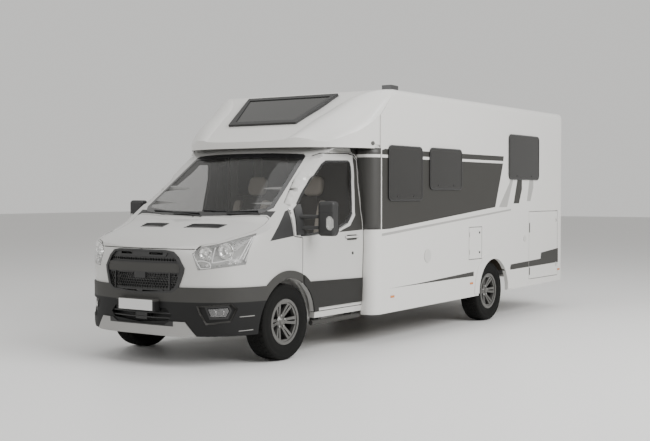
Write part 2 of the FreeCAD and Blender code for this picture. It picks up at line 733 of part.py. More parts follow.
def wings():
    shell = shell_layer(wing_region)
    nose = polygon_prism([(FRONT, 0), (FRONT, bumper_top), (0, bumper_top), (0, 0)], "x", -WIDE, WIDE)
    shell = shell.cut([bonnet_region, quarter_prism, lamps_region, grille_region, nose, cowl_region,
                       screen_hole, arch_hole])
    lip, inner, wall, radius = number_of(S.arch_lip_place, S.house_inner, S.house_wall, S.house_radius)
    outer = arch_cylinder(radius + wall, inner - wall, lip)
    hollow = arch_cylinder(radius, inner, lip + wall)
    low = Part.makeBox(WIDE, 4 * CAB_Y, sill, Vector(0, -2 * CAB_Y, 0))
    ahead = Part.makeBox(WIDE, CAB_Y, bumper_top, Vector(0, -CAB_Y, 0))
    house = outer.cut([hollow, low])
    mouth = arch_cylinder(radius + wall, lip - wall, lip).cut(arch_cylinder(S.arch_radius.number, 0, WIDE))
    house = house.fuse(mouth.cut([low, ahead])).common(cab_block(GAP)).cut(ahead.common(cab_block(0.0)).cut(
        arch_cylinder(radius + wall, 0, lip)))
    flange = arch_cylinder(S.arch_radius.number + wall, lip - wall, WIDE)
    flange = flange.cut([arch_cylinder(S.arch_radius.number, 0, WIDE), low, ahead])
    behind = Part.makeBox(WIDE, CAB_Y, HIGH, Vector(0, wing_rear, 0))
    house = house.fuse(flange.cut(behind).common(cab_block(GAP)))
    half = Part.makeBox(WIDE, 4 * CAB_Y, HIGH, Vector(GAP, -2 * CAB_Y, 0))
    left = shell.common(half).fuse(house)
    return left


def bumper():
    """The dark bumper with its intake, fog lamp pockets and plate carrier."""
    outer = cab_layer(-trim, bumper_wall, bumper_region)
    house = arch_cylinder(S.house_radius.number + S.house_wall.number + seal_gap, S.house_inner.number,
                          S.arch_lip_place.number)
    pockets = both_sides(corner_prism(FOG_POCKET_SHARES)).cut(cab_block(trim / 2))
    intake = polygon_prism(front_shares(INTAKE_SHARES), "y", FRONT, -CAB_Y * 0.5)
    outer = outer.cut([grille_region, arch_hole, both_sides(house), intake, pockets])
    wide, high, reach = number_of(S.plate_width, S.plate_height, S.front_overhang)
    carrier = Part.makeBox(wide, reach, high, Vector(-wide / 2, -reach, CAB_Z * 0.2745 - high / 2))
    return outer.fuse(carrier.cut(cab_block(bumper_wall / 2)).common(carrier))


def fog_lens():
    return cab_layer(trim / 2 - S.skid_proud.number, trim / 2, corner_prism(FOG_LENS_SHARES))


def skin_front(x, z, inset):
    """How far forward the cab's skin is at a place, moved in by an inset."""
    line = Part.makeLine(Vector(x, FRONT, z), Vector(x, 0, z))
    return cab_block(inset).common(line).BoundBox.YMin


MESH_STEPS = 4


def mesh_board(wide, low, high):
    """A thin board in flat facets that follow the nose across, and lean with it."""
    middle, inset = (low + high) / 2, trim / 4
    front = []
    for step in range(-MESH_STEPS, MESH_STEPS + 1):
        x = wide * step / MESH_STEPS
        front.append(Vector(x, skin_front(x, middle, inset), low))
    deep = Vector(0, S.grille_depth.number, 0)
    outline = front + [spot + deep for spot in reversed(front)]
    lean = skin_front(0.0, high, inset) - skin_front(0.0, low, inset)
    board = Part.Face(Part.makePolygon(outline + outline[:1])).extrude(Vector(0, lean, high - low))
    board.translate(Vector(0, -lean / 2, 0))
    return board


def cells(window):
    """A hexagon through the grille for each cell that fits in a window."""
    pitch, web = S.grille_pitch.number, S.grille_web.number
    opening = Part.Face(Part.makePolygon([Vector(x, 0, z) for x, z in window + window[:1]]))
    wide = max(x for x, z in window)
    low, high = min(z for x, z in window), max(z for x, z in window)
    rise = pitch * math.sin(math.radians(60))
    radius = (pitch - web) / 2 / math.cos(math.radians(30))
    rows = int((high - low - radius * 2) / rise)
    start = (low + high - rows * rise) / 2
    prisms = []
    for row in range(rows + 1):
        for column in range(-int(wide / pitch) - 1, int(wide / pitch) + 2):
            x, z = (column + row % 2 / 2) * pitch, start + row * rise
            corners = []
            for turn in range(6):
                angle = math.radians(30 + 60 * turn)
                corners.append((x + radius * math.cos(angle), z + radius * math.sin(angle)))
            if all(opening.isInside(Vector(a, 0, b), web / 9, True) for a, b in corners):
                prisms.append(polygon_prism(corners, "y", FRONT, 0))
    return prisms


def grille():
    """Frame, wide bar, slotted edge bars, ribs, camera housing and honeycomb, as one moulding."""
    frame = polygon_prism(front_shares(GRILLE_SHARES), "y", FRONT, 0)
    middle = GRILLE_MIDDLE_SHARE
    points = [(a * 0.93, middle + (b - middle) * 0.92) for a, b in GRILLE_SHARES]
    opening = polygon_prism(front_shares(points), "y", FRONT, 0)
    layer = cab_layer(-trim, trim, frame.cut(opening))
    bars = []
    for shares in GRILLE_BAR_SHARES:
        bars.append(polygon_prism(front_shares(shares), "y", FRONT, 0))
    for shares in GRILLE_RIB_SHARES:
        bars.append(both_sides(polygon_prism([(a * CAB_X, b * CAB_Z) for a, b in shares], "y", FRONT, 0)))
    slots = []
    for shares in GRILLE_SLOT_SHARES:
        slots.append(both_sides(polygon_prism([(a * CAB_X, b * CAB_Z) for a, b in shares], "y", FRONT, 0)))
    bars = bars[0].fuse(bars[1:]).cut(slots).common(opening)
    bars = cab_layer(-trim / 2, trim, bars)
    low, high, wide = min(b for a, b in points), max(b for a, b in points), max(a for a, b in points)
    board = mesh_board(wide * CAB_X, low * CAB_Z, high * CAB_Z)
    board = board.common(polygon_prism(front_shares([(a * 1.01, b) for a, b in points]), "y", FRONT, 0))
    open_cells = []
    for shares in GRILLE_WINDOW_SHARES:
        open_cells += cells(front_shares(shares))
    board = board.cut([Part.makeCompound(open_cells)] + slots)
    return layer.fuse([bars, board])


def door_layer():
    """The left cab door as one hollow-edged skin, with its window cut."""
    door = cab_layer(0.0, door_wall, door_prism())
    return door.cut([door_glass_prism(), arch_hole])


def door_glass_prism():
    return polygon_prism(side_shares(DOOR_GLASS_SHARES), "x", CAB_X * 0.5, CAB_X * 1.2)


def door_glass():
    thick = S.door_glass_thickness.number
    return cab_layer(thick, thick * 2, door_glass_prism())


def flare_ring():
    outer, inner = number_of(S.flare_radius, S.arch_radius)
    return arch_cylinder(outer, CAB_X * 0.6, WIDE).cut(arch_cylinder(inner, 0, WIDE))


def door_trim():
    """Dark cladding along the left door's foot, with the rear end of the flare."""
    back, rear, low = S.door_front.number + GAP, S.door_rear.number - GAP, S.door_bottom.number + GAP * 4
    band = polygon_prism([(back, low), (back, bumper_top), (rear, bumper_top - GAP * 3), (rear, low)],
                         "x", CAB_X * 0.5, WIDE)
    foot = S.door_bottom.number
    keep = polygon_prism([(back, foot), (back, HIGH), (rear, HIGH), (rear, foot)], "x", CAB_X * 0.5, WIDE)
    return cab_layer(-trim, 0.0, band.fuse(flare_ring().common(keep)).cut(arch_hole))


def flares():
    keep = [(-CAB_Y, bumper_top), (-CAB_Y, HIGH), (wing_rear, HIGH), (wing_rear, sill), (0, sill),
            (0, bumper_top)]
    region = polygon_prism(keep, "x", 0, WIDE)
    left = cab_layer(-trim, 0.0, flare_ring().common(region))
    return left


def step_tube():
    out, height = CAB_X * 0.94, sill * 0.865
    radius = S.strut_radius.number
    front, rear = S.arch_radius.number, S.door_rear.number
    tube = Part.makeCylinder(radius, rear - front, Vector(out, front, height), Vector(0, 1, 0))
    arms = []
    for share in (0.15, 0.85):
        back = front + (rear - front) * share
        if back < S.house_radius.number:
            back = S.house_radius.number + radius
        arms.append(Part.makeBox(CAB_X * 0.1, radius * 2, sill - height,
                                 Vector(out - CAB_X * 0.1, back, height)))
    return tube.fuse(arms)


def mirror_arm():
    """The left mirror: its foot on the door, two arms and the head."""
    foot_side = side_shares(((0.096, 0.578), (0.096, 0.700), (0.145, 0.722), (0.165, 0.722), (0.165, 0.578)))
    foot = cab_layer(-trim, 0.0, polygon_prism(foot_side, "x", CAB_X * 0.7, WIDE))
    head_x, head_y, head_z = CAB_X * 1.120, CAB_Y * 0.195, CAB_Z * 0.573
    wide, deep, high = CAB_X * 0.180, CAB_Y * 0.085, CAB_Z * 0.163
    head = Part.makeBox(wide, deep, high, Vector(head_x, head_y, head_z))
    head = head.makeFillet(deep * 0.3, head.Edges)
    pieces = [foot, head]
    for up in (0.612, 0.664):
        start = Vector(CAB_X * 0.965, CAB_Y * 0.135, up * CAB_Z)
        end = Vector(head_x + wide * 0.3, head_y + deep * 0.5, up * CAB_Z)
        pieces.append(Part.makeCylinder(S.strut_radius.number * 0.7, (end - start).Length, start, end - start))
    arm = pieces[0].fuse(pieces[1:])
    return arm.cut(cab_block(0.0))


def mirror_pair(shape, left, right):
    piece = skin(shape)
    node(left, piece)
    node(right, mirrored(piece))


def pair_in_one(shape, name):
    piece = skin(shape)
    node(name, piece, mirrored(piece))


node("cab_shell", skin(cab_body()))
mirror_pair(wings(), "front_wing_left", "front_wing_right")
node("front_bumper", skin(bumper()))
node("grille", skin(grille()))
skid = polygon_prism(front_shares(SKID_SHARES), "y", FRONT, -CAB_Y * 0.5)
node("skid_plate", skin(cab_layer(-trim - S.skid_proud.number, -trim - seal_gap, skid)))
lamp_piece = skin(cab_layer(-trim / 3, bonnet_wall * 3, corner_prism(LAMP_SHARES)))
fog_piece = skin(fog_lens())
node("front_lamps", lamp_piece, mirrored(lamp_piece), fog_piece, mirrored(fog_piece))
node("windscreen", skin(cab_layer(0.0, S.screen_thickness.number, screen_hole)))
cowl = shell_layer(cowl_region).cut([screen_hole, quarter_prism])
quarters = cab_layer(0.0, bonnet_wall, quarter_prism.cut(cowl_region))
node("cowl_trims", skin(cowl), skin(quarters))
bonnet_panel = grown(bonnet_points, -GAP, "z", BONNET_LOW + GAP, HIGH)
bonnet_shape = cab_layer(0.0, bonnet_wall, bonnet_panel).cut(both_sides(corner_prism(LAMP_SHARES, GAP)))
node("bonnet", skin(bonnet_shape))
mirror_pair(door_layer(), "cab_door_left", "cab_door_right")
mirror_pair(door_glass(), "cab_glass_left", "cab_glass_right")
mirror_pair(door_trim(), "door_trim_left", "door_trim_right")
mirror_pair(mirror_arm(), "mirror_left", "mirror_right")
flare_piece = skin(flares())
step_piece = skin(step_tube())
node("lower_trims", flare_piece, mirrored(flare_piece), step_piece, mirrored(step_piece))


# Cab interior

def dashboard():
    front = (S.bonnet_wall.number - S.hub_radius.number / 2 + seal_gap) / CAB_Y
    side = ((front, 0.50), (front, 0.625), (0.15, 0.640), (0.30, 0.600), (0.31, 0.50), (0.20, 0.43),
            (0.02, 0.43))
    shape = polygon_prism(side_shares(side), "x", -CAB_X * 0.74, CAB_X * 0.74)
    middle = polygon_prism(side_shares(((0.02, 0.43), (0.20, 0.43), (0.24, 0.34), (0.02, 0.34))), "x",
                           -CAB_X * 0.14, CAB_X * 0.14)
    return shape.fuse(middle)


def seat():
    """The left seat: plinth, cushion, back and headrest."""
    middle, floor_z = CAB_X * 0.37, S.floor_height.number + S.bonnet_wall.number
    half = CAB_X * 0.235
    front, rear = CAB_Y * 0.43, CAB_Y * 0.80
    top = floor_z + CAB_Z * 0.105
    plinth = Part.makeBox(half * 1.5, rear - front, top - floor_z,
                          Vector(middle - half * 0.75, front, floor_z))
    cushion = polygon_prism([(front - half * 0.25, top), (rear + half * 0.2, top - GAP * 4),
                             (rear, top + half * 0.27), (front, top + half * 0.42)],
                            "x", middle - half, middle + half)
    shoulders = top + half * 3.02
    back = polygon_prism([(rear - half * 0.15, top), (rear + half * 0.35, top), (rear + half * 0.95, shoulders),
                          (rear + half * 0.55, shoulders)], "x", middle - half, middle + half)
    lean = rear + half * 0.75
    rest = polygon_prism([(lean, top + half * 2.92), (lean + half * 0.3, top + half * 2.92),
                          (lean + half * 0.5, top + half * 3.87), (lean + half * 0.1, top + half * 3.87)],
                         "x", middle - half * 0.5, middle + half * 0.5)
    return plinth.fuse([cushion, back, rest])


STEER_X = S.cab_half_width * 0.37
STEER_Y = S.cab_length * 0.375
STEER_Z = S.cab_height * 0.575
STEER_TILT = 32


def steering_wheel():
    """Rim, spokes and column, turned about the column."""
    radius = S.brake_radius.number * 1.22
    centre = Vector(*number_of(STEER_X, STEER_Y, STEER_Z))
    tilt = math.radians(STEER_TILT)
    along = Vector(0, -math.cos(tilt), -math.sin(tilt))
    ring = Part.makeTorus(radius, S.strut_radius.number * 0.6, centre, along)
    hub = Part.makeCylinder(S.hub_radius.number, S.barrel_wall.number * 4, centre, along)
    spokes = []
    up = Vector(1, 0, 0).cross(along)
    for degrees in (0, 180, 270):
        angle = math.radians(degrees)
        way = Vector(1, 0, 0) * math.cos(angle) + up * math.sin(angle)
        spokes.append(Part.makeCylinder(S.barrel_wall.number, radius, centre, way))
    column = Part.makeCylinder(S.ball_radius.number, CAB_Y * 0.11, centre, along)
    return ring.fuse([hub, column] + spokes)


dash_shape = dashboard()
wheel_shape = steering_wheel()
node("dashboard", skin(dash_shape.cut(wheel_shape)))
pair_in_one(seat(), "cab_seats")
node("steering_wheel", skin(wheel_shape))


# Front cap over the cab

# Cross-sections from the lip back to the roof: distance back from the front axle in
# shares of the roof seam's, half width in shares of the body's, where the side starts
# to turn over and the top in shares of the cap's height, and where the top is flat.
CAP_SHARES = (
    (0.300, 0.560, 0.035, 0.075, 0.40),
    (0.360, 0.640, 0.050, 0.150, 0.46),
    (0.430, 0.740, 0.080, 0.260, 0.50),
    (0.505, 0.850, 0.120, 0.385, 0.53),
    (0.620, 0.935, 0.240, 0.560, 0.58),
    (0.740, 0.975, 0.420, 0.745, 0.64),
    (0.835, 0.990, 0.590, 0.900, 0.74),
    (0.930, 1.000, 0.790, 0.985, 0.88),
    (1.000, 1.000, 0.895, 1.000, 0.938),
)
# The lip seen from above: half of it from the middle out.
LIP_SHARES = ((0, 0.325), (0.30, 0.330), (0.50, 0.350), (0.65, 0.390), (0.775, 0.452), (0.870, 0.530),
              (0.940, 0.640), (0.980, 0.760), (1.000, 0.830))


def cap_section(row, inset):
    back, wide, turn, top, flat = row
    low = S.cap_bottom.number + inset
    height = S.roof_height.number - S.cap_bottom.number
    half = HALF_BODY.number
    y = back * S.cap_roof_seam.number
    out, level = wide * half - inset, flat * half - inset
    side = S.cap_bottom.number + turn * height
    peak = S.cap_bottom.number + top * height - inset
    side = max(min(side, peak - S.seal_gap.number), low + S.seal_gap.number)
    across = out - level
    bulge = Vector(level + across * 0.72, y, side + (peak - side) * 0.74)
    right = [Vector(out, y, low), Vector(out, y, side), Vector(level, y, peak)]
    left = [Vector(-v.x, v.y, v.z) for v in right]
    mirror_bulge = Vector(-bulge.x, y, bulge.z)
    edges = [Part.makeLine(left[0], right[0]), Part.makeLine(right[0], right[1]),
             Part.Arc(right[1], bulge, right[2]).toShape(), Part.makeLine(right[2], left[2]),
             Part.Arc(left[2], mirror_bulge, left[1]).toShape(), Part.makeLine(left[1], left[0])]
    return Part.Wire(edges)


def cap_solid(inset=0.0):
    body = Part.makeLoft([cap_section(row, inset) for row in CAP_SHARES], True)
    half, seam = HALF_BODY.number, S.cap_roof_seam.number
    lip = [Vector(a * half - (inset if a else 0), b * seam + inset, 0) for a, b in LIP_SHARES]
    mirror = [Vector(-v.x, v.y, 0) for v in reversed(lip[1:])]
    rear = [Vector(lip[-1].x, seam * 1.1, 0), Vector(-lip[-1].x, seam * 1.1, 0)]
    wire = Part.Wire([through(mirror + lip), Part.makeLine(lip[-1], rear[0]), Part.makeLine(rear[0], rear[1]),
                      Part.makeLine(rear[1], mirror[0])])
    prism = Part.Face(wire).extrude(Vector(0, 0, 2 * S.roof_height.number))
    return body.common(prism)


# The skylight's foot and head on the cap: back and up, then half widths.
SKYLIGHT_FOOT_SHARES = (0.510, 0.388)
SKYLIGHT_HEAD_SHARES = (0.828, 0.900)
SKYLIGHT_WIDE_SHARES = (0.39, 0.525)


def skylight_prism(grow, low, high):
    """A trapezoid prism square to the cap's sloping face."""
    seam, bottom, roof = number_of(S.cap_roof_seam, S.cap_bottom, S.roof_height)
    foot = Vector(0, SKYLIGHT_FOOT_SHARES[0] * seam, bottom + SKYLIGHT_FOOT_SHARES[1] * (roof - bottom))
    head = Vector(0, SKYLIGHT_HEAD_SHARES[0] * seam, bottom + SKYLIGHT_HEAD_SHARES[1] * (roof - bottom))
    along = (head - foot).normalize()
    across = Vector(1, 0, 0)
    normal = across.cross(along)
    foot_half, head_half = [share * HALF_BODY.number + grow for share in SKYLIGHT_WIDE_SHARES]
    spots = [foot - along * grow - across * foot_half, foot - along * grow + across * foot_half,
             head + along * grow + across * head_half, head + along * grow - across * head_half]
    spots = [spot + normal * low for spot in spots]
    return Part.Face(Part.makePolygon(spots + spots[:1])).extrude(normal * (high - low))


def cap_piece():
    bottom, wall, seam, roof_seam, roof = number_of(S.cap_bottom, S.cap_wall, S.cap_seam, S.cap_roof_seam,
                                                    S.roof_height)
    shell = cap_solid(0.0)
    hollow = cap_solid(wall)
    open_rear = Part.makeBox(WIDE * 3, roof, wall * 2, Vector(-WIDE * 1.5, CAB_Y, bottom - wall))
    slope = seam + (roof_seam - seam) * 0.7
    eaves = roof - S.roof_edge_radius.number
    behind = [(seam, bottom - wall), (seam, bottom + (roof - bottom) * 0.54), (slope, eaves),
              (roof_seam, eaves), (roof_seam, roof * 1.1), (roof, roof * 1.1), (roof, bottom - wall)]
    return shell.cut([hollow, open_rear.common(hollow.fuse(open_rear.common(shell))),
                      polygon_prism(behind, "x", -WIDE * 2, WIDE * 2),
                      skylight_prism(0.0, -wall * 3, wall * 3)])


frame_width, glass_deep = S.skylight_frame.number, S.cap_wall.number
skylight_whole = skylight_prism(0.0, -glass_deep, glass_deep * 0.7)
skylight_inner = skylight_prism(-frame_width, -glass_deep * 2, glass_deep * 2)
skylight_pane = skylight_prism(-frame_width, -glass_deep * 0.2, glass_deep * 0.5)
node("front_cap", skin(cap_piece()))
node("skylight_frame", skin(skylight_whole.cut(skylight_inner)))
node("skylight_glass", skin(skylight_pane))


# Living body

WALL_IN = HALF_BODY - S.panel_wall
WALL_TOP = S.roof_height - S.roof_edge_radius
REAR_FACE = REAR_END - S.fit_gap * 3
WALL_REAR = REAR_FACE - S.rear_cap_depth
CAP_HIGH = S.roof_height - S.cap_bottom


def living(share):
    """A place along the living body, as a share of the way from cap seam to rear cap."""
    return S.cap_seam + (WALL_REAR - S.cap_seam) * share


def opening(front, rear, low, high):
    """An opening in a side wall, in shares along the wall and up from floor to roof."""
    return (living(front), living(rear), S.roof_height * low, S.roof_height * high)


LEFT_WINDOWS = (opening(0.033, 0.176, 0.565, 0.770), opening(0.219, 0.372, 0.610, 0.771),
                opening(0.650, 0.838, 0.660, 0.861))
RIGHT_WINDOWS = (opening(0.300, 0.440, 0.610, 0.771), opening(0.650, 0.838, 0.660, 0.861))
GARAGE = opening(0.781, 0.979, 0.167, 0.496)
FLAP = opening(0.420, 0.489, 0.2945, 0.435)
ENTRANCE = opening(0.060, 0.190, 0.160, 0.800)


def hole_box(spot, grow):
    """A box that cuts an opening through the left wall and skirt, larger by a gap."""
    front, rear, low, high = spot
    return box((WALL_IN - S.overrun, front - grow, low - grow),
               (HALF_BODY + S.overrun, rear + grow, high + grow))


def wall_outline():
    slope = S.cap_seam + (S.cap_roof_seam - S.cap_seam) * 0.7
    return [(S.cap_seam, S.floor_height), (WALL_REAR, S.floor_height), (WALL_REAR, WALL_TOP),
            (slope, WALL_TOP), (S.cap_seam, S.cap_bottom + CAP_HIGH * 0.54)]


def skirt_outline():
    return [(S.cap_seam, S.skirt_front_height), (WALL_REAR, S.skirt_rear_height), (WALL_REAR, S.floor_height),
            (S.cap_seam, S.floor_height)]


def arch_rod(radius, inner, outer):
    return rod((inner, S.wheelbase, S.tyre_radius), radius, outer - inner, "x")


def flap_frame(spot, low, high):
    """The frame strip that a closed flap rests on, inside the wall, between two heights."""
    front, rear, bottom, top = spot
    around = S.seal_lap + S.fit_gap
    strip_in = WALL_IN - S.seal_lap
    outer_low = max((bottom - around, low), key=lambda size: size.number)
    outer_high = min((top + around, high), key=lambda size: size.number)
    strip = box((strip_in, front - around, outer_low), (WALL_IN, rear + around, outer_high))
    opening_left = box((strip_in - S.overrun, front + S.fit_gap, bottom + S.fit_gap),
                       (HALF_BODY, rear - S.fit_gap, top - S.fit_gap))
    relief = box((WALL_IN - S.seal_gap, front - S.fit_gap, bottom - S.fit_gap),
                 (HALF_BODY, rear + S.fit_gap, top + S.fit_gap))
    floor_edge = box((strip_in - S.overrun, S.cab_length, S.floor_height - S.seal_gap),
                     (WALL_IN, WALL_REAR, S.floor_height + S.floor_thickness + S.seal_gap))
    return cut(strip, opening_left, relief, floor_edge)


def wall(windows, doors):
    holes = [hole_box(spot, ZERO) for spot in windows] + [hole_box(spot, S.fit_gap) for spot in doors]
    holes.append(arch_rod(S.rear_arch_radius, WALL_IN - S.overrun, HALF_BODY + S.overrun))
    board = cut(side_board(wall_outline(), WALL_IN, HALF_BODY, "Wall"), *holes)
    return fuse(board, *[flap_frame(spot, S.floor_height, S.roof_height) for spot in doors])


def skirt(doors):
    holes = [hole_box(spot, S.fit_gap) for spot in doors]
    holes.append(arch_rod(S.rear_arch_radius, WALL_IN - S.overrun, HALF_BODY + S.overrun))
    board = cut(side_board(skirt_outline(), WALL_IN, HALF_BODY, "Skirt"), *holes)
    return fuse(board, *[flap_frame(spot, S.skirt_rear_height, S.floor_height - S.seal_gap) for spot in doors])


def arch_trim():
    """The raised white moulding round the rear wheel."""
    proud = S.fit_gap * 1.5
    ring = cut(arch_rod(S.rear_arch_radius + S.rear_arch_trim, HALF_BODY, HALF_BODY + proud),
               arch_rod(S.rear_arch_radius, HALF_BODY - S.overrun, HALF_BODY + S.overrun))
    reach = S.rear_arch_radius + S.rear_arch_trim * 2
    below = box((HALF_BODY - S.overrun, S.wheelbase - reach, S.tyre_radius - reach),
                (HALF_BODY + S.overrun * 2, S.wheelbase + reach, S.skirt_rear_height))
    return cut(ring, below)


node("side_wall_left", wall(LEFT_WINDOWS, (GARAGE, FLAP)))
node("side_wall_right", mirrored(wall(RIGHT_WINDOWS, (GARAGE, ENTRANCE))))
node("side_skirts", skirt((GARAGE,)), mirrored(skirt((GARAGE, ENTRANCE))))
left_trim = arch_trim()
node("rear_arch_trims", left_trim, mirrored(left_trim))


def roof():
    """The roof board, rounded down to the side walls."""
    half, radius, wall_in = number_of(HALF_BODY, S.roof_edge_radius, S.panel_wall)
    top, start, end = number_of(S.roof_height, S.cap_roof_seam, WALL_REAR)
    block = Part.makeBox(half * 2, end - start, radius * 2, Vector(-half, start, top - radius * 2))
    edges = [e for e in block.Edges if abs(e.CenterOfMass.x) > half - 1 and e.CenterOfMass.z > top - 1]
    outer = block.makeFillet(radius, edges)
    block = Part.makeBox(half * 2 - wall_in * 2, end - start, radius * 2, Vector(-half + wall_in, start,
                                                                                top - radius * 2 - wall_in))
    edges = [e for e in block.Edges if abs(e.CenterOfMass.x) > half - wall_in - 1
             and e.CenterOfMass.z > top - wall_in - 1]
    inner = block.makeFillet(radius - wall_in, edges)
    below = Part.makeBox(half * 3, end, radius * 2, Vector(-half * 1.5, 0, top - radius * 3))
    return outer.cut([inner, below])


def rear_cap():
    """The moulded rear wall with its rounded corners."""
    half, corner, top_radius, wall_in, top, start, end, low = number_of(
        HALF_BODY, S.rear_corner_radius, S.roof_edge_radius, S.panel_wall, S.roof_height, WALL_REAR, REAR_FACE,
        S.floor_height)

    def rounded(inset):
        block = Part.makeBox((half - inset) * 2, end - start + corner, top - low, Vector(-half + inset,
                             start - corner - inset, low - inset))
        upright = [e for e in block.Edges if abs(e.CenterOfMass.x) > half - inset - 1
                   and e.CenterOfMass.y > end - inset - 1]
        block = block.makeFillet(corner - inset, upright)
        rim = [e for e in block.Edges if e.CenterOfMass.z > top - inset - 1
               and e.CenterOfMass.y > start - corner]
        return block.makeFillet(top_radius - inset, rim)

    ahead = Part.makeBox(half * 3, start, top * 2, Vector(-half * 1.5, 0, 0))
    below = Part.makeBox(half * 3, end * 2, low, Vector(-half * 1.5, 0, 0))
    return rounded(0).cut([rounded(wall_in), ahead, below])


CORNER_INNER_SHARE = 0.72


def floor():
    half = WALL_IN.number
    start, end, low, thick = number_of(S.cab_length, WALL_REAR, S.floor_height, S.floor_thickness)
    slim, corner_end = CAB_X * CORNER_INNER_SHARE - GAP, S.cap_seam.number + GAP
    board = Part.makeBox(half * 2, end - corner_end, thick, Vector(-half, corner_end, low))
    board = board.fuse(Part.makeBox(slim * 2, corner_end - start, thick, Vector(-slim, start, low)))
    inner = S.rear_track_half.number - S.tyre_width.number * 0.65
    reach = S.rear_arch_radius.number * 1.04
    high = S.tyre_radius.number + S.rear_arch_radius.number + GAP * 2
    wall_in = S.house_wall.number
    pieces = [board.removeSplitter()]
    holes = []
    for outward in (1, -1):
        low_x, high_x = sorted((outward * inner, outward * half))
        low_y = S.wheelbase.number - reach
        holes.append(Part.makeBox(high_x - low_x, reach * 2, high, Vector(low_x, low_y, 0)))
        outer_x = low_x - (wall_in if outward > 0 else 0)
        pieces.append(Part.makeBox(high_x - low_x + wall_in, (reach + wall_in) * 2, high + wall_in - low,
                                   Vector(outer_x, low_y - wall_in, low)))
    front, rear, bottom, top = number_of(*FLAP)
    around = S.seal_lap.number + GAP + seal_gap
    notch = Part.makeBox(around, rear - front + around * 2, top - bottom,
                         Vector(half - S.seal_lap.number - seal_gap, front - around, bottom - around))
    return pieces[0].fuse(pieces[1:]).cut(holes + [notch])


def corner_panel():
    """The left upright between the cab and the living body, seen from above as a quarter turn."""
    seam, half, wall_in = number_of(S.cap_seam, HALF_BODY, S.panel_wall)
    start = S.door_rear.number + GAP
    inner_x = CAB_X * CORNER_INNER_SHARE
    turn_x = CAB_X * 1.01
    bend = Vector(turn_x + (half - turn_x) * 0.72, start + (seam - start) * 0.30, 0)
    outer = [Vector(turn_x, start, 0), bend, Vector(half, seam, 0)]
    inner = [Vector(turn_x - wall_in * 0.3, start + wall_in, 0), bend + Vector(-wall_in * 0.7, wall_in * 0.7, 0),
             Vector(half - wall_in, seam, 0)]
    front = Vector(inner_x, start, 0)
    back = Vector(inner_x, start + wall_in, 0)
    edges = [Part.makeLine(front, outer[0]), Part.Arc(*outer).toShape(), Part.makeLine(outer[2], inner[2]),
             Part.Arc(inner[2], inner[1], inner[0]).toShape(), Part.makeLine(inner[0], back),
             Part.makeLine(back, front)]
    low, high = S.skirt_front_height.number, S.cap_bottom.number
    post = Part.Face(Part.Wire(edges)).extrude(Vector(0, 0, high - low))
    post.translate(Vector(0, 0, low))
    return post.cut(cab_block(0.0))


node("roof_panel", skin(roof()))
node("rear_wall", skin(rear_cap()))
node("floor_panel", skin(floor()))
pair_in_one(corner_panel(), "corner_panels")


# Windows, doors and flaps of the living body

def window(spot):
    """A framed acrylic window: a plug in the wall with a rounded flange outside."""
    front, rear, low, high = number_of(*spot)
    inner, outer = number_of(WALL_IN, HALF_BODY)
    flange, proud = S.overrun.number, S.fit_gap.number * 1.5
    plug = Part.makeBox(outer - inner, rear - front, high - low, Vector(inner, front, low))
    plate = Part.makeBox(proud, rear - front + flange * 2, high - low + flange * 2,
                         Vector(outer, front - flange, low - flange))
    corners = [e for e in plate.Edges if abs(e.Vertexes[0].X - e.Vertexes[1].X) > proud / 2]
    return plug.fuse(plate.makeFillet(flange * 3.5, corners)).removeSplitter()


left_panes = [skin(window(spot)) for spot in LEFT_WINDOWS]
right_panes = [mirrored(skin(window(spot))) for spot in RIGHT_WINDOWS]
node("body_windows", *(left_panes + right_panes))


def flap_board(spot):
    front, rear, low, high = spot
    return box((WALL_IN, front, low), (HALF_BODY, rear, high))


node("garage_door_left", flap_board(GARAGE))
node("garage_door_right", mirrored(flap_board(GARAGE)))
node("service_flap", flap_board(FLAP))
entrance_long = ENTRANCE[1] - ENTRANCE[0]
door_window = (ENTRANCE[0] + entrance_long * 0.25, ENTRANCE[0] + entrance_long * 0.75,
               S.roof_height * 0.58, S.roof_height * 0.74)
node("entrance_door", mirrored(cut(flap_board(ENTRANCE), hole_box(door_window, ZERO))))
node("entrance_door_window", mirrored(skin(window(door_window))))


# Roof, rear and side fittings

def hatch(share, long_share, wide_share):
    middle = S.cap_roof_seam + (WALL_REAR - S.cap_roof_seam) * share
    half_long, half_wide = S.body_width * (long_share / 2), S.body_width * (wide_share / 2)
    return box((-half_wide, middle - half_long, S.roof_height),
               (half_wide, middle + half_long, S.roof_height + S.panel_wall * 2))


node("roof_hatches", hatch(0.18, 0.19, 0.19), hatch(0.45, 0.19, 0.19), hatch(0.80, 0.22, 0.33))
antenna_x = HALF_BODY * 0.80
antenna_y = S.cap_roof_seam + S.overrun * 8
node("roof_antenna", plan_board(((antenna_x - S.hub_radius, antenna_y), (antenna_x + S.hub_radius, antenna_y),
                                 (antenna_x + S.hub_radius * 0.7, antenna_y + S.hub_radius * 3),
                                 (antenna_x - S.hub_radius * 0.7, antenna_y + S.hub_radius * 3)),
                                S.roof_height, S.roof_height + S.panel_wall * 2, "Antenna"))


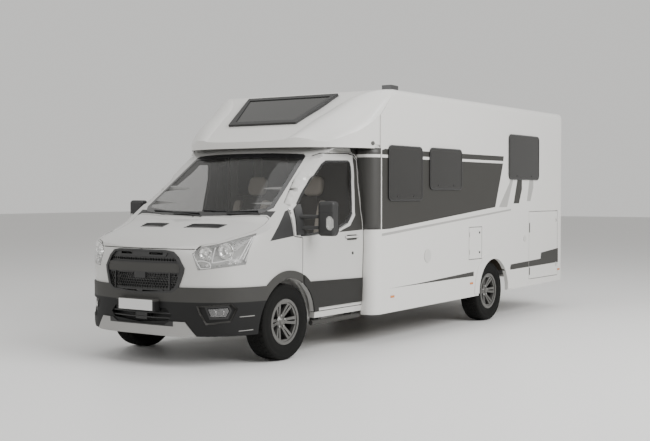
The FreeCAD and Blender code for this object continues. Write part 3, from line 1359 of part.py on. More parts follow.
def rear_bumper():
    half, start, end = number_of(HALF_BODY, WALL_REAR, REAR_FACE)
    low, high, corner = number_of(S.skirt_rear_height, S.floor_height, S.rear_corner_radius)
    block = Part.makeBox(half * 2, end - start + corner, high - low, Vector(-half, start - corner, low))
    upright = [e for e in block.Edges if abs(e.CenterOfMass.x) > half - 1 and e.CenterOfMass.y > end - 1]
    block = block.makeFillet(corner, upright)
    wall_in = S.panel_wall.number
    hollow = Part.makeBox((half - wall_in) * 2, end - start + corner - wall_in, high,
                          Vector(-half + wall_in, start - corner, low / 2))
    upright = [e for e in hollow.Edges if abs(e.CenterOfMass.x) > half - wall_in - 1
               and e.CenterOfMass.y > end - wall_in - 1]
    hollow = hollow.makeFillet(corner - wall_in, upright)
    ahead = Part.makeBox(half * 3, start, high * 2, Vector(-half * 1.5, 0, 0))
    return block.cut([hollow, ahead])


node("rear_bumper", skin(rear_bumper()))
lamp_out = HALF_BODY - S.rear_corner_radius
tail = box((lamp_out - S.rear_corner_radius, REAR_FACE, S.roof_height * 0.25),
           (lamp_out, REAR_END, S.roof_height * 0.38))
node("tail_lamps", tail, mirrored(tail))


def marker(share, height):
    back, half = living(share), S.hub_radius * 0.6
    return box((HALF_BODY, back - half, height - half / 3),
               (HALF_BODY + S.fit_gap, back + half, height + half / 3))


markers = [marker(0.048, S.roof_height * 0.181), marker(0.432, S.roof_height * 0.187),
           marker(0.988, S.roof_height * 0.194)]
node("marker_lamps", *(markers + [mirrored(lamp) for lamp in markers]))


def disc(share, up, radius):
    return rod((HALF_BODY, living(share), S.roof_height * up), radius, S.fit_gap, "x")


node("side_fittings", disc(0.207, 0.328, S.strut_radius * 3), disc(0.751, 0.367, S.strut_radius * 1.6))


# Check every object, then write one file for each node

doc.recompute()
failed = [thing.Label for thing in doc.Objects if "Invalid" in thing.State or "Error" in thing.State]
for made in nodes:
    if made.Shape.isNull() or not made.Shape.isValid() or not made.Shape.Solids:
        failed.append(made.Label)
if failed:
    raise RuntimeError("these did not build: " + ", ".join(failed))
os.makedirs("parts", exist_ok=True)
for made in nodes:
    made.Shape.exportStep("parts/%s.step" % made.Label)
print(len(nodes), "nodes")
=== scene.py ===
import json
import math

import bmesh
import bpy
from mathutils import Matrix, Vector
from mathutils.bvhtree import BVHTree

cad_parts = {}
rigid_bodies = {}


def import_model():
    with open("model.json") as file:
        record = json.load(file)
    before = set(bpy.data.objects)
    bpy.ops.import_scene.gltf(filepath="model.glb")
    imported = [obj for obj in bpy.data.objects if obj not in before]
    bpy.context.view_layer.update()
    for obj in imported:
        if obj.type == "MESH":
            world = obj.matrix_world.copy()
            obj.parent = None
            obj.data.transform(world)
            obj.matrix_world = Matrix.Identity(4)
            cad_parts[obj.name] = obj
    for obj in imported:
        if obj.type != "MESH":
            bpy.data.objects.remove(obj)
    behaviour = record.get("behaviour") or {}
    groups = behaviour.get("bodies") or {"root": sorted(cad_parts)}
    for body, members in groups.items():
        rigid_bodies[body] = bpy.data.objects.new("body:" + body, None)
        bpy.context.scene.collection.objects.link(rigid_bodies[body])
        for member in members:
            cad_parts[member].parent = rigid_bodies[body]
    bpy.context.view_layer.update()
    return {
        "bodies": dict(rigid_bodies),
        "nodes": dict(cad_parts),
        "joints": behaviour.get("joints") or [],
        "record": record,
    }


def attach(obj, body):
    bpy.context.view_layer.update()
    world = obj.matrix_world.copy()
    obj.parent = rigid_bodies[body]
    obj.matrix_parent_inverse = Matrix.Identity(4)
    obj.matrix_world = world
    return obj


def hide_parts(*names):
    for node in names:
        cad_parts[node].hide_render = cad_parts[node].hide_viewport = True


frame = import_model()
nodes = frame["nodes"]
scene = bpy.context.scene

# Places are given in metres behind the front axle, and moved into the model's frame here.
AXLE = -2.68
# Half the width of the living body
SIDE = 1.16
SIDES = ((1, "left"), (-1, "right"))


def back(y):
    return y + AXLE


def placed(outline):
    """An outline of places behind the axle and heights, moved into the model's frame."""
    return [(back(y), z) for y, z in outline]


def aimed(name, data, place, way):
    """A new camera or lamp that looks along a way."""
    thing = bpy.data.objects.new(name, data)
    thing.location = place
    thing.rotation_mode = "QUATERNION"
    thing.rotation_quaternion = way.to_track_quat("-Z", "Y")
    scene.collection.objects.link(thing)
    return thing


# Camera, fitted to points of the photo

YAW = math.radians(34.505)
PITCH = math.radians(1.443)
ahead = Vector((-math.sin(YAW) * math.cos(PITCH), math.cos(YAW) * math.cos(PITCH), -math.sin(PITCH)))
camera_data = bpy.data.cameras.new("Camera")
camera_data.lens = 60.7
camera_data.sensor_width = 36.0
camera_data.clip_end = 200
scene.camera = aimed("Camera", camera_data, (7.1691, -11.0337, 1.592), ahead)

# Materials

COAT_ROUGH = 0.06
GRAIN_DEPTH = 0.0006
# Half the width of the step at the edge of a painted zone
SOFT = 0.0005


def feed(tree, node, inputs):
    """Gives a node's inputs their sockets or plain values."""
    for key, value in inputs.items():
        if isinstance(value, bpy.types.NodeSocket):
            tree.links.new(value, node.inputs[key])
        else:
            node.inputs[key].default_value = value


def add(tree, kind, inputs, **settings):
    """A new shader node with its settings and inputs."""
    node = tree.nodes.new("ShaderNode" + kind)
    for name, value in settings.items():
        setattr(node, name, value)
    feed(tree, node, inputs)
    return node


def maths(tree, operation, *values):
    """A maths node over two values, or a chain of them over more."""
    result = values[0]
    for value in values[1:]:
        result = add(tree, "Math", {0: result, 1: value}, operation=operation).outputs[0]
    return result


def mixed(tree, factor, first, second, kind="FLOAT"):
    return add(tree, "Mix", {"Factor": factor, "A": first, "B": second}, data_type=kind).outputs["Result"]


def texture(tree, scale, detail=4):
    place = add(tree, "TexCoord", {}).outputs["Object"]
    return add(tree, "TexNoise", {"Vector": place, "Scale": scale, "Detail": detail}).outputs["Fac"]


def varied(name, color, vary, scale, rough, gloss_vary, inputs):
    """A material whose colour, or grey, and roughness go up and down a little in soft patches."""
    if isinstance(color, float):
        color = (color,) * 3
    material = bpy.data.materials.new(name)
    material.use_nodes = True
    tree = material.node_tree
    bsdf = tree.nodes["Principled BSDF"]
    patches = texture(tree, scale)
    dark, light = ([min(channel * (1 + turn), 1) for channel in color] + [1] for turn in (-vary, vary))
    gloss = {"Value": patches, "To Min": rough * (1 - gloss_vary), "To Max": rough * (1 + gloss_vary)}
    feed(tree, bsdf, {"Base Color": mixed(tree, patches, dark, light, "RGBA"),
                      "Roughness": add(tree, "MapRange", gloss).outputs["Result"], **inputs})
    return material, tree, bsdf


def surface(name, color, rough, vary=0.04, metal=0.0, coat=0.0, grain=0.0, scale=3.0, grain_scale=900.0,
            specular=0.5):
    """A finish with slight colour and gloss variation, and a fine grain where it has one."""
    material, tree, bsdf = varied(name, color, vary, scale, rough, 0.12, {
        "Metallic": metal, "Coat Weight": coat, "Coat Roughness": COAT_ROUGH, "Specular IOR Level": specular})
    if grain:
        fine = {"Strength": grain, "Distance": GRAIN_DEPTH, "Height": texture(tree, grain_scale, 2)}
        feed(tree, bsdf, {"Normal": add(tree, "Bump", fine).outputs["Normal"]})
    return material


def pane(name, color, rough, see_through):
    """A thin window pane: tinted and glossy, and partly clear."""
    material = varied(name, color, 0.05, 1.5, rough, 0.2, {
        "Coat Weight": 0.6, "Coat Roughness": 0.02, "Alpha": 1 - see_through})[0]
    material.surface_render_method = "BLENDED"
    return material


def above(tree, axis, limit, soft=SOFT):
    """Goes from 0 to 1 where the place along an axis passes a limit, with both sides alike across."""
    place = add(tree, "TexCoord", {}).outputs["Object"]
    value = add(tree, "SeparateXYZ", {0: place}).outputs["XYZ".index(axis)]
    if axis == "X":
        value = add(tree, "Math", {0: value}, operation="ABSOLUTE").outputs[0]
    step = {"Value": value, "From Min": limit - soft, "From Max": limit + soft}
    return add(tree, "MapRange", step).outputs["Result"]


def below(tree, axis, limit, soft=SOFT):
    return maths(tree, "SUBTRACT", 1.0, above(tree, axis, limit, soft))


def between(tree, axis, low, high):
    """Is 1 between two places along an axis."""
    return maths(tree, "MULTIPLY", above(tree, axis, low), below(tree, axis, high))


def facing(tree, centre):
    """Is 1 on faces that look towards a place, such as the inside of a hollow body."""
    shape = add(tree, "NewGeometry", {}).outputs
    toward = add(tree, "VectorMath", {0: centre, 1: shape["Position"]}, operation="SUBTRACT").outputs[0]
    dot = add(tree, "VectorMath", {0: toward, 1: shape["Normal"]}, operation="DOT_PRODUCT").outputs["Value"]
    return maths(tree, "GREATER_THAN", dot, 0.0)


def overlaid(material, mask_maker, color, rough=0.6):
    """Gives a material another colour, without gloss coat, where a mask is 1."""
    copy = material.copy()
    tree = copy.node_tree
    bsdf = tree.nodes["Principled BSDF"]
    mask = mask_maker(tree)
    for name, value, kind in (("Base Color", (*color, 1), "RGBA"), ("Roughness", rough, "FLOAT")):
        under = bsdf.inputs[name].links[0].from_socket
        feed(tree, bsdf, {name: mixed(tree, mask, under, value, kind)})
    for name in ("Metallic", "Coat Weight"):
        feed(tree, bsdf, {name: mixed(tree, mask, bsdf.inputs[name].default_value, 0.0)})
    return copy


PAINT_WHITE = surface("PaintWhite", (0.73, 0.722, 0.695), 0.32, 0.012, coat=0.35, grain=0.02, grain_scale=260)
PAINT_SILVER = surface("PaintSilver", (0.59, 0.585, 0.565), 0.34, 0.015, metal=0.15, coat=0.6, grain=0.03)
GREY = surface("PlasticGrey", (0.046, 0.045, 0.042), 0.55, 0.08, grain=0.25, scale=8, specular=0.3)
CLADDING = surface("Cladding", (0.024, 0.0235, 0.022), 0.55, 0.08, grain=0.25, scale=8, specular=0.2)
PLASTIC = surface("PlasticDark", 0.018, 0.48, 0.1, grain=0.2, scale=8)
GLOSS = surface("GlossBlack", (0.012, 0.012, 0.013), 0.22, 0.08, coat=0.4)
RUBBER = surface("Rubber", 0.016, 0.75, 0.12, grain=0.3, scale=12)
TYRE = surface("TyreRubber", (0.01, 0.01, 0.0095), 0.82, 0.14, grain=0.35, scale=16, specular=0.12)
GUNMETAL = surface("Gunmetal", (0.125, 0.123, 0.117), 0.36, 0.05, metal=0.55, coat=0.3, scale=14)
STEEL = surface("Steel", (0.3, 0.3, 0.29), 0.38, 0.1, metal=0.9, scale=18)
IRON = surface("CastIron", (0.075, 0.072, 0.068), 0.7, 0.18, metal=0.4, grain=0.5, scale=20, grain_scale=300)
FRAME_BLACK = surface("FrameBlack", 0.022, 0.55, 0.15, grain=0.2, scale=6)
CHROME = surface("Chrome", (0.8, 0.8, 0.79), 0.12, 0.03, metal=1.0)
REFLECTOR = surface("Reflector", (0.56, 0.56, 0.55), 0.2, 0.06, metal=0.85, scale=20)
SILVER_LIP = surface("SilverLip", (0.33, 0.325, 0.315), 0.38, 0.04, metal=0.5, coat=0.2)
DECAL_DARK = surface("DecalDark", (0.036, 0.035, 0.032), 0.42, 0.03, specular=0.25)
DECAL_LIGHT = surface("DecalLight", (0.38, 0.375, 0.36), 0.42, 0.03, coat=0.2)
ORANGE = surface("LampOrange", (0.62, 0.2, 0.04), 0.22, 0.08, coat=0.5)
RED = surface("LampRed", (0.45, 0.02, 0.02), 0.2, 0.08, coat=0.5)
CREAM = surface("FabricCream", (0.72, 0.65, 0.56), 0.85, 0.1, grain=0.8, scale=30, grain_scale=700)
CLOTH = surface("FabricDark", (0.05, 0.046, 0.042), 0.88, 0.12, grain=0.8, scale=30, grain_scale=700)
DASH = surface("DashGrain", (0.03, 0.029, 0.028), 0.6, 0.1, grain=0.5, scale=10, grain_scale=500)
FLOOR_VINYL = surface("FloorVinyl", (0.16, 0.13, 0.1), 0.5, 0.15, grain=0.2, scale=4)
ACRYLIC = surface("AcrylicDark", (0.02, 0.0195, 0.0185), 0.18, 0.1, coat=0.08, specular=0.35)
SKYLIGHT = surface("SkylightPane", (0.03, 0.03, 0.029), 0.16, 0.06, coat=0.1, specular=0.4)
SCREEN = pane("ScreenGlass", (0.045, 0.045, 0.043), 0.04, 0.7)
DOOR_GLASS = pane("DoorGlass", (0.036, 0.034, 0.031), 0.04, 0.78)
LENS = pane("LampLens", 0.62, 0.04, 0.8)
WHITE = surface("WhitePlastic", (0.6, 0.595, 0.57), 0.4, 0.02, grain=0.1)
LIGHT_STRIP = surface("LightStrip", (0.78, 0.78, 0.77), 0.25, 0.03, coat=0.5)
LAMP_TUB = surface("LampTub", (0.42, 0.42, 0.41), 0.28, 0.1, metal=0.55, scale=18)

# Finishes with a second colour: linings inside, the living body's darkened as painted shade; paint in zones;
# painted shade on the bumper's lower part; the blank plate; painted shade inside the rims behind the spokes
CAB_MIDDLE = (0, back(0.75), 1.2)
LIVING_MIDDLE = (0, back(3.7), 1.5)
PLATE_DEPTH = -3.699
RIM_SHADE = (0.012, 0.012, 0.012)
CAB_PAINT = overlaid(PAINT_SILVER, lambda tree: facing(tree, CAB_MIDDLE), (0.055, 0.054, 0.052), 0.7)
# Inside faces of the living body get a dark lining colour, darkened as painted shade for the unlit inside
BODY_PAINT = overlaid(PAINT_WHITE, lambda tree: facing(tree, LIVING_MIDDLE), (0.1, 0.098, 0.094))
CORNER_PAINT = overlaid(BODY_PAINT, lambda tree: maths(
    tree, "MAXIMUM", between(tree, "Z", 1.209, 1.963), between(tree, "Z", 1.994, 2.06)),
    (0.04, 0.039, 0.036), 0.42)
# Below 0.6 m the bumper is painted near black: painted shade on its lower part, which faces down
BUMPER_SHADED_LOW = overlaid(GREY, lambda tree: below(tree, "Z", 0.6, 0.004), (0.006, 0.006, 0.006))
BUMPER = overlaid(BUMPER_SHADED_LOW, lambda tree: maths(
    tree, "MULTIPLY", below(tree, "X", 0.212), between(tree, "Z", 0.5155, 0.6125),
    below(tree, "Y", PLATE_DEPTH, 0.0002)), (0.66, 0.66, 0.65), 0.35)
SKID = overlaid(SILVER_LIP, lambda tree: maths(
    tree, "MULTIPLY", below(tree, "X", 0.4, 0.004), above(tree, "Z", 0.376, 0.001)),
    (0.014, 0.014, 0.014), 0.5)
# Inboard of the spoke face the rims are painted near black: painted shade inside the wheel
RIM_FRONT = overlaid(GUNMETAL, lambda tree: below(tree, "X", 0.905), RIM_SHADE)
RIM_REAR = overlaid(GUNMETAL, lambda tree: below(tree, "X", 1.029), RIM_SHADE)

# The finish of each of the frame's nodes, by the start of its name
FINISHES = (
    (TYRE, "tyre"), (RIM_FRONT, "rim_front"), (RIM_REAR, "rim_rear"), (IRON, "knuckle engine_block"),
    (FRAME_BLACK, "chassis_frame rear_axle"), (CAB_PAINT, "cab_shell cab_door"),
    (PAINT_SILVER, "front_wing bonnet"), (BUMPER, "front_bumper"), (REFLECTOR, "front_lamps"),
    (SCREEN, "windscreen"), (DOOR_GLASS, "cab_glass"),
    (PLASTIC, "underfloor_tanks grille cowl_trims mirror skylight_frame"), (CLADDING, "door_trim"),
    (GREY, "lower_trims"), (DASH, "dashboard steering_wheel"), (CLOTH, "cab_seats"),
    (BODY_PAINT, "front_cap side_wall roof_panel rear_wall"), (CORNER_PAINT, "corner_panels"),
    (PAINT_WHITE, "side_skirts rear_arch_trims garage_door service_flap entrance_door rear_bumper"),
    (SKYLIGHT, "skylight_glass"), (FLOOR_VINYL, "floor_panel"),
    (ACRYLIC, "body_windows entrance_door_window"), (WHITE, "roof_hatches side_fittings"),
    (GLOSS, "roof_antenna"), (RED, "tail_lamps"), (ORANGE, "marker_lamps"), (SKID, "skid_plate"),
)
finish_of = {start: material for material, starts in FINISHES for start in starts.split()}
for label, thing in nodes.items():
    start = max((start for start in finish_of if label.startswith(start)), key=len)
    for place in thing.material_slots:
        place.material = finish_of[start]


# Mesh helpers

def shown(name, data, body):
    """A new object in the scene that rides on a body."""
    thing = bpy.data.objects.new(name, data)
    scene.collection.objects.link(thing)
    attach(thing, body)
    return thing


def build(name, bm, material, body="root", smooth=True, split=0, edge=0.0):
    """A piece made of a bmesh, with edges split beyond an angle in degrees, or bevelled by a width."""
    mesh = bpy.data.meshes.new(name)
    bmesh.ops.recalc_face_normals(bm, faces=bm.faces)
    bm.to_mesh(mesh)
    bm.free()
    mesh.materials.append(material)
    for polygon in mesh.polygons:
        polygon.use_smooth = smooth
    thing = shown(name, mesh, body)
    if split:
        thing.modifiers.new("Edges", "EDGE_SPLIT").split_angle = math.radians(split)
    if edge:
        bevel = thing.modifiers.new("Bevel", "BEVEL")
        bevel.width = edge
        bevel.segments = 2
        bevel.limit_method = "ANGLE"
        bevel.angle_limit = math.radians(30)
    return thing


def to_space(axis, a, b, c):
    """A point whose outline coordinates are a and b, at a height c along the axis."""
    return Vector({"x": (c, a, b), "y": (a, c, b), "z": (a, b, c)}[axis])


def banded(bm, first, second, closed=True):
    """Quads between two rows of corners, each with its ends joined if closed."""
    for index in range(len(first) if closed else len(first) - 1):
        after = (index + 1) % len(first)
        bm.faces.new((first[index], first[after], second[after], second[index]))


def row_at(bm, outline, axis, height):
    return [bm.verts.new(to_space(axis, a, b, height)) for a, b in outline]


def prism(name, outline, axis, low, high, material, body="root", edge=0.0):
    bm = bmesh.new()
    first, second = row_at(bm, outline, axis, low), row_at(bm, outline, axis, high)
    bm.faces.new(first)
    bm.faces.new(second)
    banded(bm, first, second)
    return build(name, bm, material, body, False, edge=edge)


def around(middle, radius, angle):
    """The point of a circle at an angle."""
    return middle[0] + radius * math.cos(angle), middle[1] + radius * math.sin(angle)


def rectangle(a_low, b_low, a_high, b_high, radius=0.0):
    """A rectangle, with round corners where it has a radius."""
    if not radius:
        return [(a_low, b_low), (a_high, b_low), (a_high, b_high), (a_low, b_high)]
    points = []
    for a, b, start in ((a_high, b_low, -90), (a_high, b_high, 0), (a_low, b_high, 90), (a_low, b_low, 180)):
        middle = (a - radius if a == a_high else a + radius, b - radius if b == b_high else b + radius)
        points += [around(middle, radius, math.radians(start + 18 * step)) for step in range(6)]
    return points


def inset(outline, distance):
    """Moves each side of an outline inwards by a distance."""
    area = sum(a[0] * b[1] - b[0] * a[1] for a, b in zip(outline, outline[1:] + outline[:1]))
    turn = 1 if area > 0 else -1
    moved = []
    for index, spot in enumerate(outline):
        here = Vector(spot)
        first = (here - Vector(outline[index - 1])).normalized()
        second = (Vector(outline[(index + 1) % len(outline)]) - here).normalized()
        normal = (Vector((-first.y, first.x)) + Vector((-second.y, second.x))) * turn
        half = normal.normalized()
        reach = distance / max(half.dot(Vector((-first.y, first.x)) * turn), 0.35)
        moved.append(tuple(here + half * reach))
    return moved


def ring(name, outline, width, axis, low, high, material, body, edge=0.0):
    """A flat frame round an outline, of one width and a thickness along the axis."""
    inner = inset(outline, width)
    bm = bmesh.new()
    loops = [row_at(bm, points, axis, height)
             for points, height in ((outline, low), (outline, high), (inner, high), (inner, low))]
    for first, second in zip(loops, loops[1:] + loops[:1]):
        banded(bm, first, second)
    build(name, bm, material, body, False, edge=edge)


def turned_rows(bm, profile, steps, spot):
    """Rows of corners round an axis, from pairs of a distance along it and a radius about it."""
    angles = [2 * math.pi * step / steps for step in range(steps)]
    turns = [(math.cos(angle), math.sin(angle)) for angle in angles]
    return [[bm.verts.new(spot(radius * a, radius * b, along)) for a, b in turns]
            for along, radius in profile]


def lathe(name, profile, place, material, body="root", axis="x", steps=48, sign=1, closed=False):
    """Turns pairs of distance along the axis and radius about it, as a disc or a closed ring."""
    bm = bmesh.new()
    middle = Vector(place)
    rows = turned_rows(bm, profile, steps, lambda a, b, along: middle + to_space(axis, a, b, along * sign))
    for first, second in zip(rows, rows[1:] + rows[:1] if closed else rows[1:]):
        banded(bm, first, second)
    if not closed:
        bm.faces.new(rows[0])
        bm.faces.new(rows[-1])
    return build(name, bm, material, body, split=35)


def tube(name, points, radius, material, body="root", closed=False, smooth=True):
    curve = bpy.data.curves.new(name, "CURVE")
    curve.dimensions = "3D"
    curve.bevel_depth = radius
    curve.bevel_resolution = 2
    curve.use_fill_caps = True
    spline = curve.splines.new("NURBS" if smooth else "POLY")
    spline.points.add(len(points) - 1)
    for point, spot in zip(spline.points, points):
        point.co = (*spot, 1)
    spline.use_cyclic_u = closed
    if smooth:
        spline.order_u = 3
        spline.use_endpoint_u = not closed
    curve.materials.append(material)
    return shown(name, curve, body)


def tree_of(*meshes):
    bm = bmesh.new()
    for mesh in meshes:
        bm.from_mesh(mesh)
    tree = BVHTree.FromBMesh(bm)
    bm.free()
    return tree


def node_tree(*names):
    return tree_of(*(nodes[name].data for name in names))


# Each view looks along its way from a distance, with a across the picture and b up in it.
TURN = math.radians(40)
VIEW_REACH = 9
NEAR_STEP = 0.004
NEAR_TRIES = 40
UP = Vector((0, 0, 1))
VIEWS = {
    "front": (Vector((0, 1, 0)), Vector((1, 0, 0)), UP),
    "left": (Vector((-1, 0, 0)), Vector((0, 1, 0)), UP),
    "right": (Vector((1, 0, 0)), Vector((0, 1, 0)), UP),
    "top": (Vector((0, 0, -1)), Vector((1, 0, 0)), Vector((0, 1, 0))),
    "corner": (Vector((-math.sin(TURN), math.cos(TURN), 0)), Vector((math.cos(TURN), math.sin(TURN), 0)), UP),
}


def landed(tree, view, a, b, lift=0.0):
    """The point of a surface seen at a and b in a view, lifted towards the viewer.

    Where the sight line just misses the surface, the depth is taken from close beside it.
    """
    way, across, up = VIEWS[view]
    spot = way * -VIEW_REACH + across * a + up * b
    hit = tree.ray_cast(spot, way)[0]
    tries = 0
    while hit is None and tries < NEAR_TRIES:
        beside, higher = around((0, 0), NEAR_STEP * (1 + tries // 8), tries * math.pi / 4)
        nudge = across * beside + up * higher
        hit = tree.ray_cast(spot + nudge, way)[0]
        if hit is not None:
            hit = hit - nudge
        tries += 1
    if hit is None:
        near = tree.find_nearest(spot + way * spot.length)[0]
        hit = spot + way * (near - spot).dot(way)
    return hit - way * lift


def refined(bm, finest, turns):
    """Divides triangles until no edge is longer than a size, in a limited number of turns."""
    for turn in range(turns):
        long = [edge for edge in bm.edges if edge.calc_length() > finest]
        if not long:
            break
        bmesh.ops.subdivide_edges(bm, edges=long, cuts=1)
        bmesh.ops.triangulate(bm, faces=bm.faces)


def drape(name, tree, view, outline, material, body="root", lift=0.001, thick=0.002, finest=0.02,
          frame=None):
    """A thin sheet laid on a surface, inside an outline or between its insets by two distances."""
    bm = bmesh.new()
    if frame:
        banded(bm, *(row_at(bm, inset(outline, distance), "z", 0) for distance in frame))
    else:
        bm.faces.new(row_at(bm, outline, "z", 0))
    bmesh.ops.triangulate(bm, faces=bm.faces)
    refined(bm, finest, 7)
    for vert in bm.verts:
        vert.co = landed(tree, view, vert.co.x, vert.co.y, lift + thick)
    way = VIEWS[view][0]
    rim = [edge for edge in bm.edges if edge.is_boundary]
    for vert in bmesh.ops.extrude_edge_only(bm, edges=rim)["geom"]:
        if isinstance(vert, bmesh.types.BMVert):
            vert.co += way * (lift + thick)
    thing = build(name, bm, material, body, split=40)
    middle = max(thing.data.polygons, key=lambda face: abs(face.normal.dot(way)))
    if middle.normal.dot(way) > 0:
        thing.data.flip_normals()
    return thing


def clipped(outline, limit, keep_above):
    """The part of an outline on one side of a line across its first axis."""
    kept = []
    for first, second in zip(outline, outline[1:] + outline[:1]):
        if (first[0] >= limit) == keep_above:
            kept.append(first)
        if (first[0] >= limit) != (second[0] >= limit):
            share = (limit - first[0]) / (second[0] - first[0])
            kept.append(tuple(first[i] + (second[i] - first[i]) * share for i in (0, 1)))
    return kept


# Wheels, by their place across and behind the front axle

WHEELS = (("front_left", 0.866, 0.0, 1), ("front_right", -0.866, 0.0, -1),
          ("rear_left", 0.99, 4.1, 1), ("rear_right", -0.99, 4.1, -1))
HUB_HEIGHT = 0.366
HUB_FACE = 0.049
NUT_CIRCLE = 0.056
TREAD_HALF = 0.099
TREAD_PLACES = 37
TREAD_STEPS = 252
TREAD_PITCH = 0.0055
GROOVE_DEPTH = 0.009
CUT_DEPTH = 0.007
# The places across the tread where a groove runs round it
GROOVES = (9, 14, 18, 22, 27)
TYRE_WALL = [(-0.092, 0.2035), (-0.096, 0.219), (-0.108, 0.24), (-0.116, 0.27), (-0.1172, 0.285),
             (-0.116, 0.305), (-0.112, 0.327), (-0.1135, 0.331), (-0.1105, 0.342), (-0.106, 0.3525)]


def tyre(name, place, body):
    """A tyre whose tread is cut into blocks by grooves round it and across it."""
    profile = [(a, radius, False) for a, radius in TYRE_WALL]
    for index in range(TREAD_PLACES):
        a = -TREAD_HALF + TREAD_PITCH * index
        crown = HUB_HEIGHT - 0.0075 * (abs(a) / TREAD_HALF) ** 3
        groove = index in GROOVES
        profile.append((a, crown - (GROOVE_DEPTH if groove else 0), not groove))
    profile += [(-a, radius, False) for a, radius in reversed(TYRE_WALL)]
    bm = bmesh.new()
    rows = []
    for step in range(TREAD_STEPS):
        angle = 2 * math.pi * step / TREAD_STEPS
        row = []
        for index, (a, radius, block) in enumerate(profile):
            column = (index - len(TYRE_WALL)) // 9
            cut = block and (step + 2 * (column % 3) + int(abs(a) * 40)) % 7 == 0
            reach = radius - (CUT_DEPTH if cut else 0)
            row.append(bm.verts.new(Vector(place) + Vector((a, *around((0, 0), reach, angle)))))
        rows.append(row)
    for first, second in zip(rows, rows[1:] + rows[:1]):
        banded(bm, first, second)
    return build(name, bm, TYRE, body, split=32)


HUB_CAP = [(HUB_FACE + along, radius) for along, radius in (
    (0.01, 0.036), (0.019, 0.034), (0.024, 0.027), (0.025, 0.01), (0.025, 0.001))]
NUT = [(HUB_FACE + along, radius) for along, radius in (
    (-0.004, 0.0125), (0.01, 0.0115), (0.013, 0.008), (0.013, 0.001))]
RIM_LIP = [(0.0995, 0.196), (0.1015, 0.199), (0.1025, 0.206), (0.1015, 0.2165), (0.0985, 0.2185),
           (0.0985, 0.2)]
for wheel, x, y, side in WHEELS:
    body = "wheel_" + wheel
    centre = (x, back(y), HUB_HEIGHT)
    rubber = tyre("tyre_tread_" + wheel, centre, body)
    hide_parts("tyre_" + wheel)
    lathe("hub_cap_" + wheel, HUB_CAP, centre, GUNMETAL, body, steps=40, sign=side)
    for index in range(5):
        spot = (x, *around(centre[1:], NUT_CIRCLE, math.radians(90 + 72 * index)))
        lathe(f"wheel_nut_{wheel}_{index}", NUT, spot, STEEL, body, steps=6, sign=side)
    lathe("rim_lip_" + wheel, RIM_LIP, centre, GUNMETAL, body, steps=96, sign=side, closed=True)


# Body graphics

DARK_BAND = [(1.44, 1.994), (4.372, 1.994), (4.386, 2.055), (1.5, 2.055), (1.44, 2.04)]
DARK_FIELD = [(1.44, 1.209), (1.6, 1.211), (4.147, 1.414), (4.368, 1.963), (1.44, 1.963)]
LIGHT_LINE = [(1.44, 1.138), (4.6, 1.366), (4.62, 1.388), (1.44, 1.166)]
SLANTS = (
    ([(4.253, 1.412), (4.488, 1.412), (4.77, 1.955), (4.69, 1.955), (4.56, 1.72)], DECAL_LIGHT),
    ([(4.686, 1.455), (4.851, 1.455), (4.941, 1.64), (4.941, 1.778), (4.802, 1.778)], DECAL_DARK),
    ([(5.099, 1.484), (5.211, 1.484), (5.302, 1.66), (5.302, 1.776), (5.179, 1.776)], DECAL_LIGHT),
)
STRIPE_FRONT = [(1.577, 0.578), (3.56, 0.588), (3.56, 0.642), (2.2, 0.59)]
STRIPE_REAR = [(4.572, 0.603), (6.157, 0.623), (6.155, 0.821), (5.57, 0.782), (5.552, 0.7), (4.609, 0.672)]
# Where the graphics of the right side begin, behind the entrance door
RIGHT_FIELD = 2.36
RIGHT_STRIPE = 2.37
GARAGE_FRONT = 5.1735
GARAGE_REAR = 6.125
GAP = 0.008


def decal(name, outline, material, side, body="root"):
    return prism(name, placed(outline)[::side], "x", side * SIDE, side * (SIDE + 0.0008), material, body)


for side, word in SIDES:
    field_start, stripe_start = (0, 0) if side > 0 else (RIGHT_FIELD, RIGHT_STRIPE)
    decal("band_upper_" + word, DARK_BAND, DECAL_DARK, side)
    decal("field_dark_" + word, clipped(DARK_FIELD, field_start, True), DECAL_DARK, side)
    decal("line_light_" + word, clipped(LIGHT_LINE, field_start, True), DECAL_LIGHT, side)
    for index, (outline, material) in enumerate(SLANTS):
        decal(f"slant_{index}_{word}", outline, material, side)
    decal("stripe_front_" + word, clipped(STRIPE_FRONT, stripe_start, True), DECAL_DARK, side)
    decal("stripe_ahead_" + word, clipped(STRIPE_REAR, GARAGE_FRONT - GAP, False), DECAL_DARK, side)
    decal("stripe_behind_" + word, clipped(STRIPE_REAR, GARAGE_REAR + GAP, True), DECAL_DARK, side)
    on_door = clipped(clipped(STRIPE_REAR, GARAGE_FRONT, True), GARAGE_REAR, False)
    decal("stripe_door_" + word, on_door, DECAL_DARK, side, "garage_" + word)


# Windows of the living body, by their front, rear, foot and top

REAR_WINDOW = (4.5439, 5.4474, 1.782, 2.3247)
WINDOWS = {1: ((1.5786, 2.2659, 1.5255, 2.079), (2.4725, 3.2079, 1.647, 2.0817), REAR_WINDOW),
           -1: ((2.8618, 3.5346, 1.647, 2.0817), REAR_WINDOW)}
WINDOW_PROUD = 0.012
WINDOW_LAP = 0.019
STAY = [(0, 0.01), (0.003, 0.01), (0.0045, 0.007), (0.0045, 0.001)]

for side, word in SIDES:
    face = side * (SIDE + WINDOW_PROUD)
    for number, (front, rear, low, high) in enumerate(WINDOWS[side]):
        name = f"window_{word}_{number}"
        outline = rectangle(back(front) - WINDOW_LAP, low - WINDOW_LAP, back(rear) + WINDOW_LAP,
                            high + WINDOW_LAP, 0.06)
        ring(name + "_rim", outline, 0.014, "x", face, face + side * 0.0025, GLOSS, "root", 0.001)
        ring(name + "_line", inset(outline, 0.03), 0.0025, "x", face, face + side * 0.001, GREY, "root")
        wide = (rear - front) / 4
        for index, place in enumerate((front + wide, rear - wide)):
            lathe(f"{name}_stay_{index}", STAY, (face, back(place), low + 0.03), PLASTIC, steps=20, sign=side)


# Front of the cab. Its outlines are shares of the cab's half width and of its height.

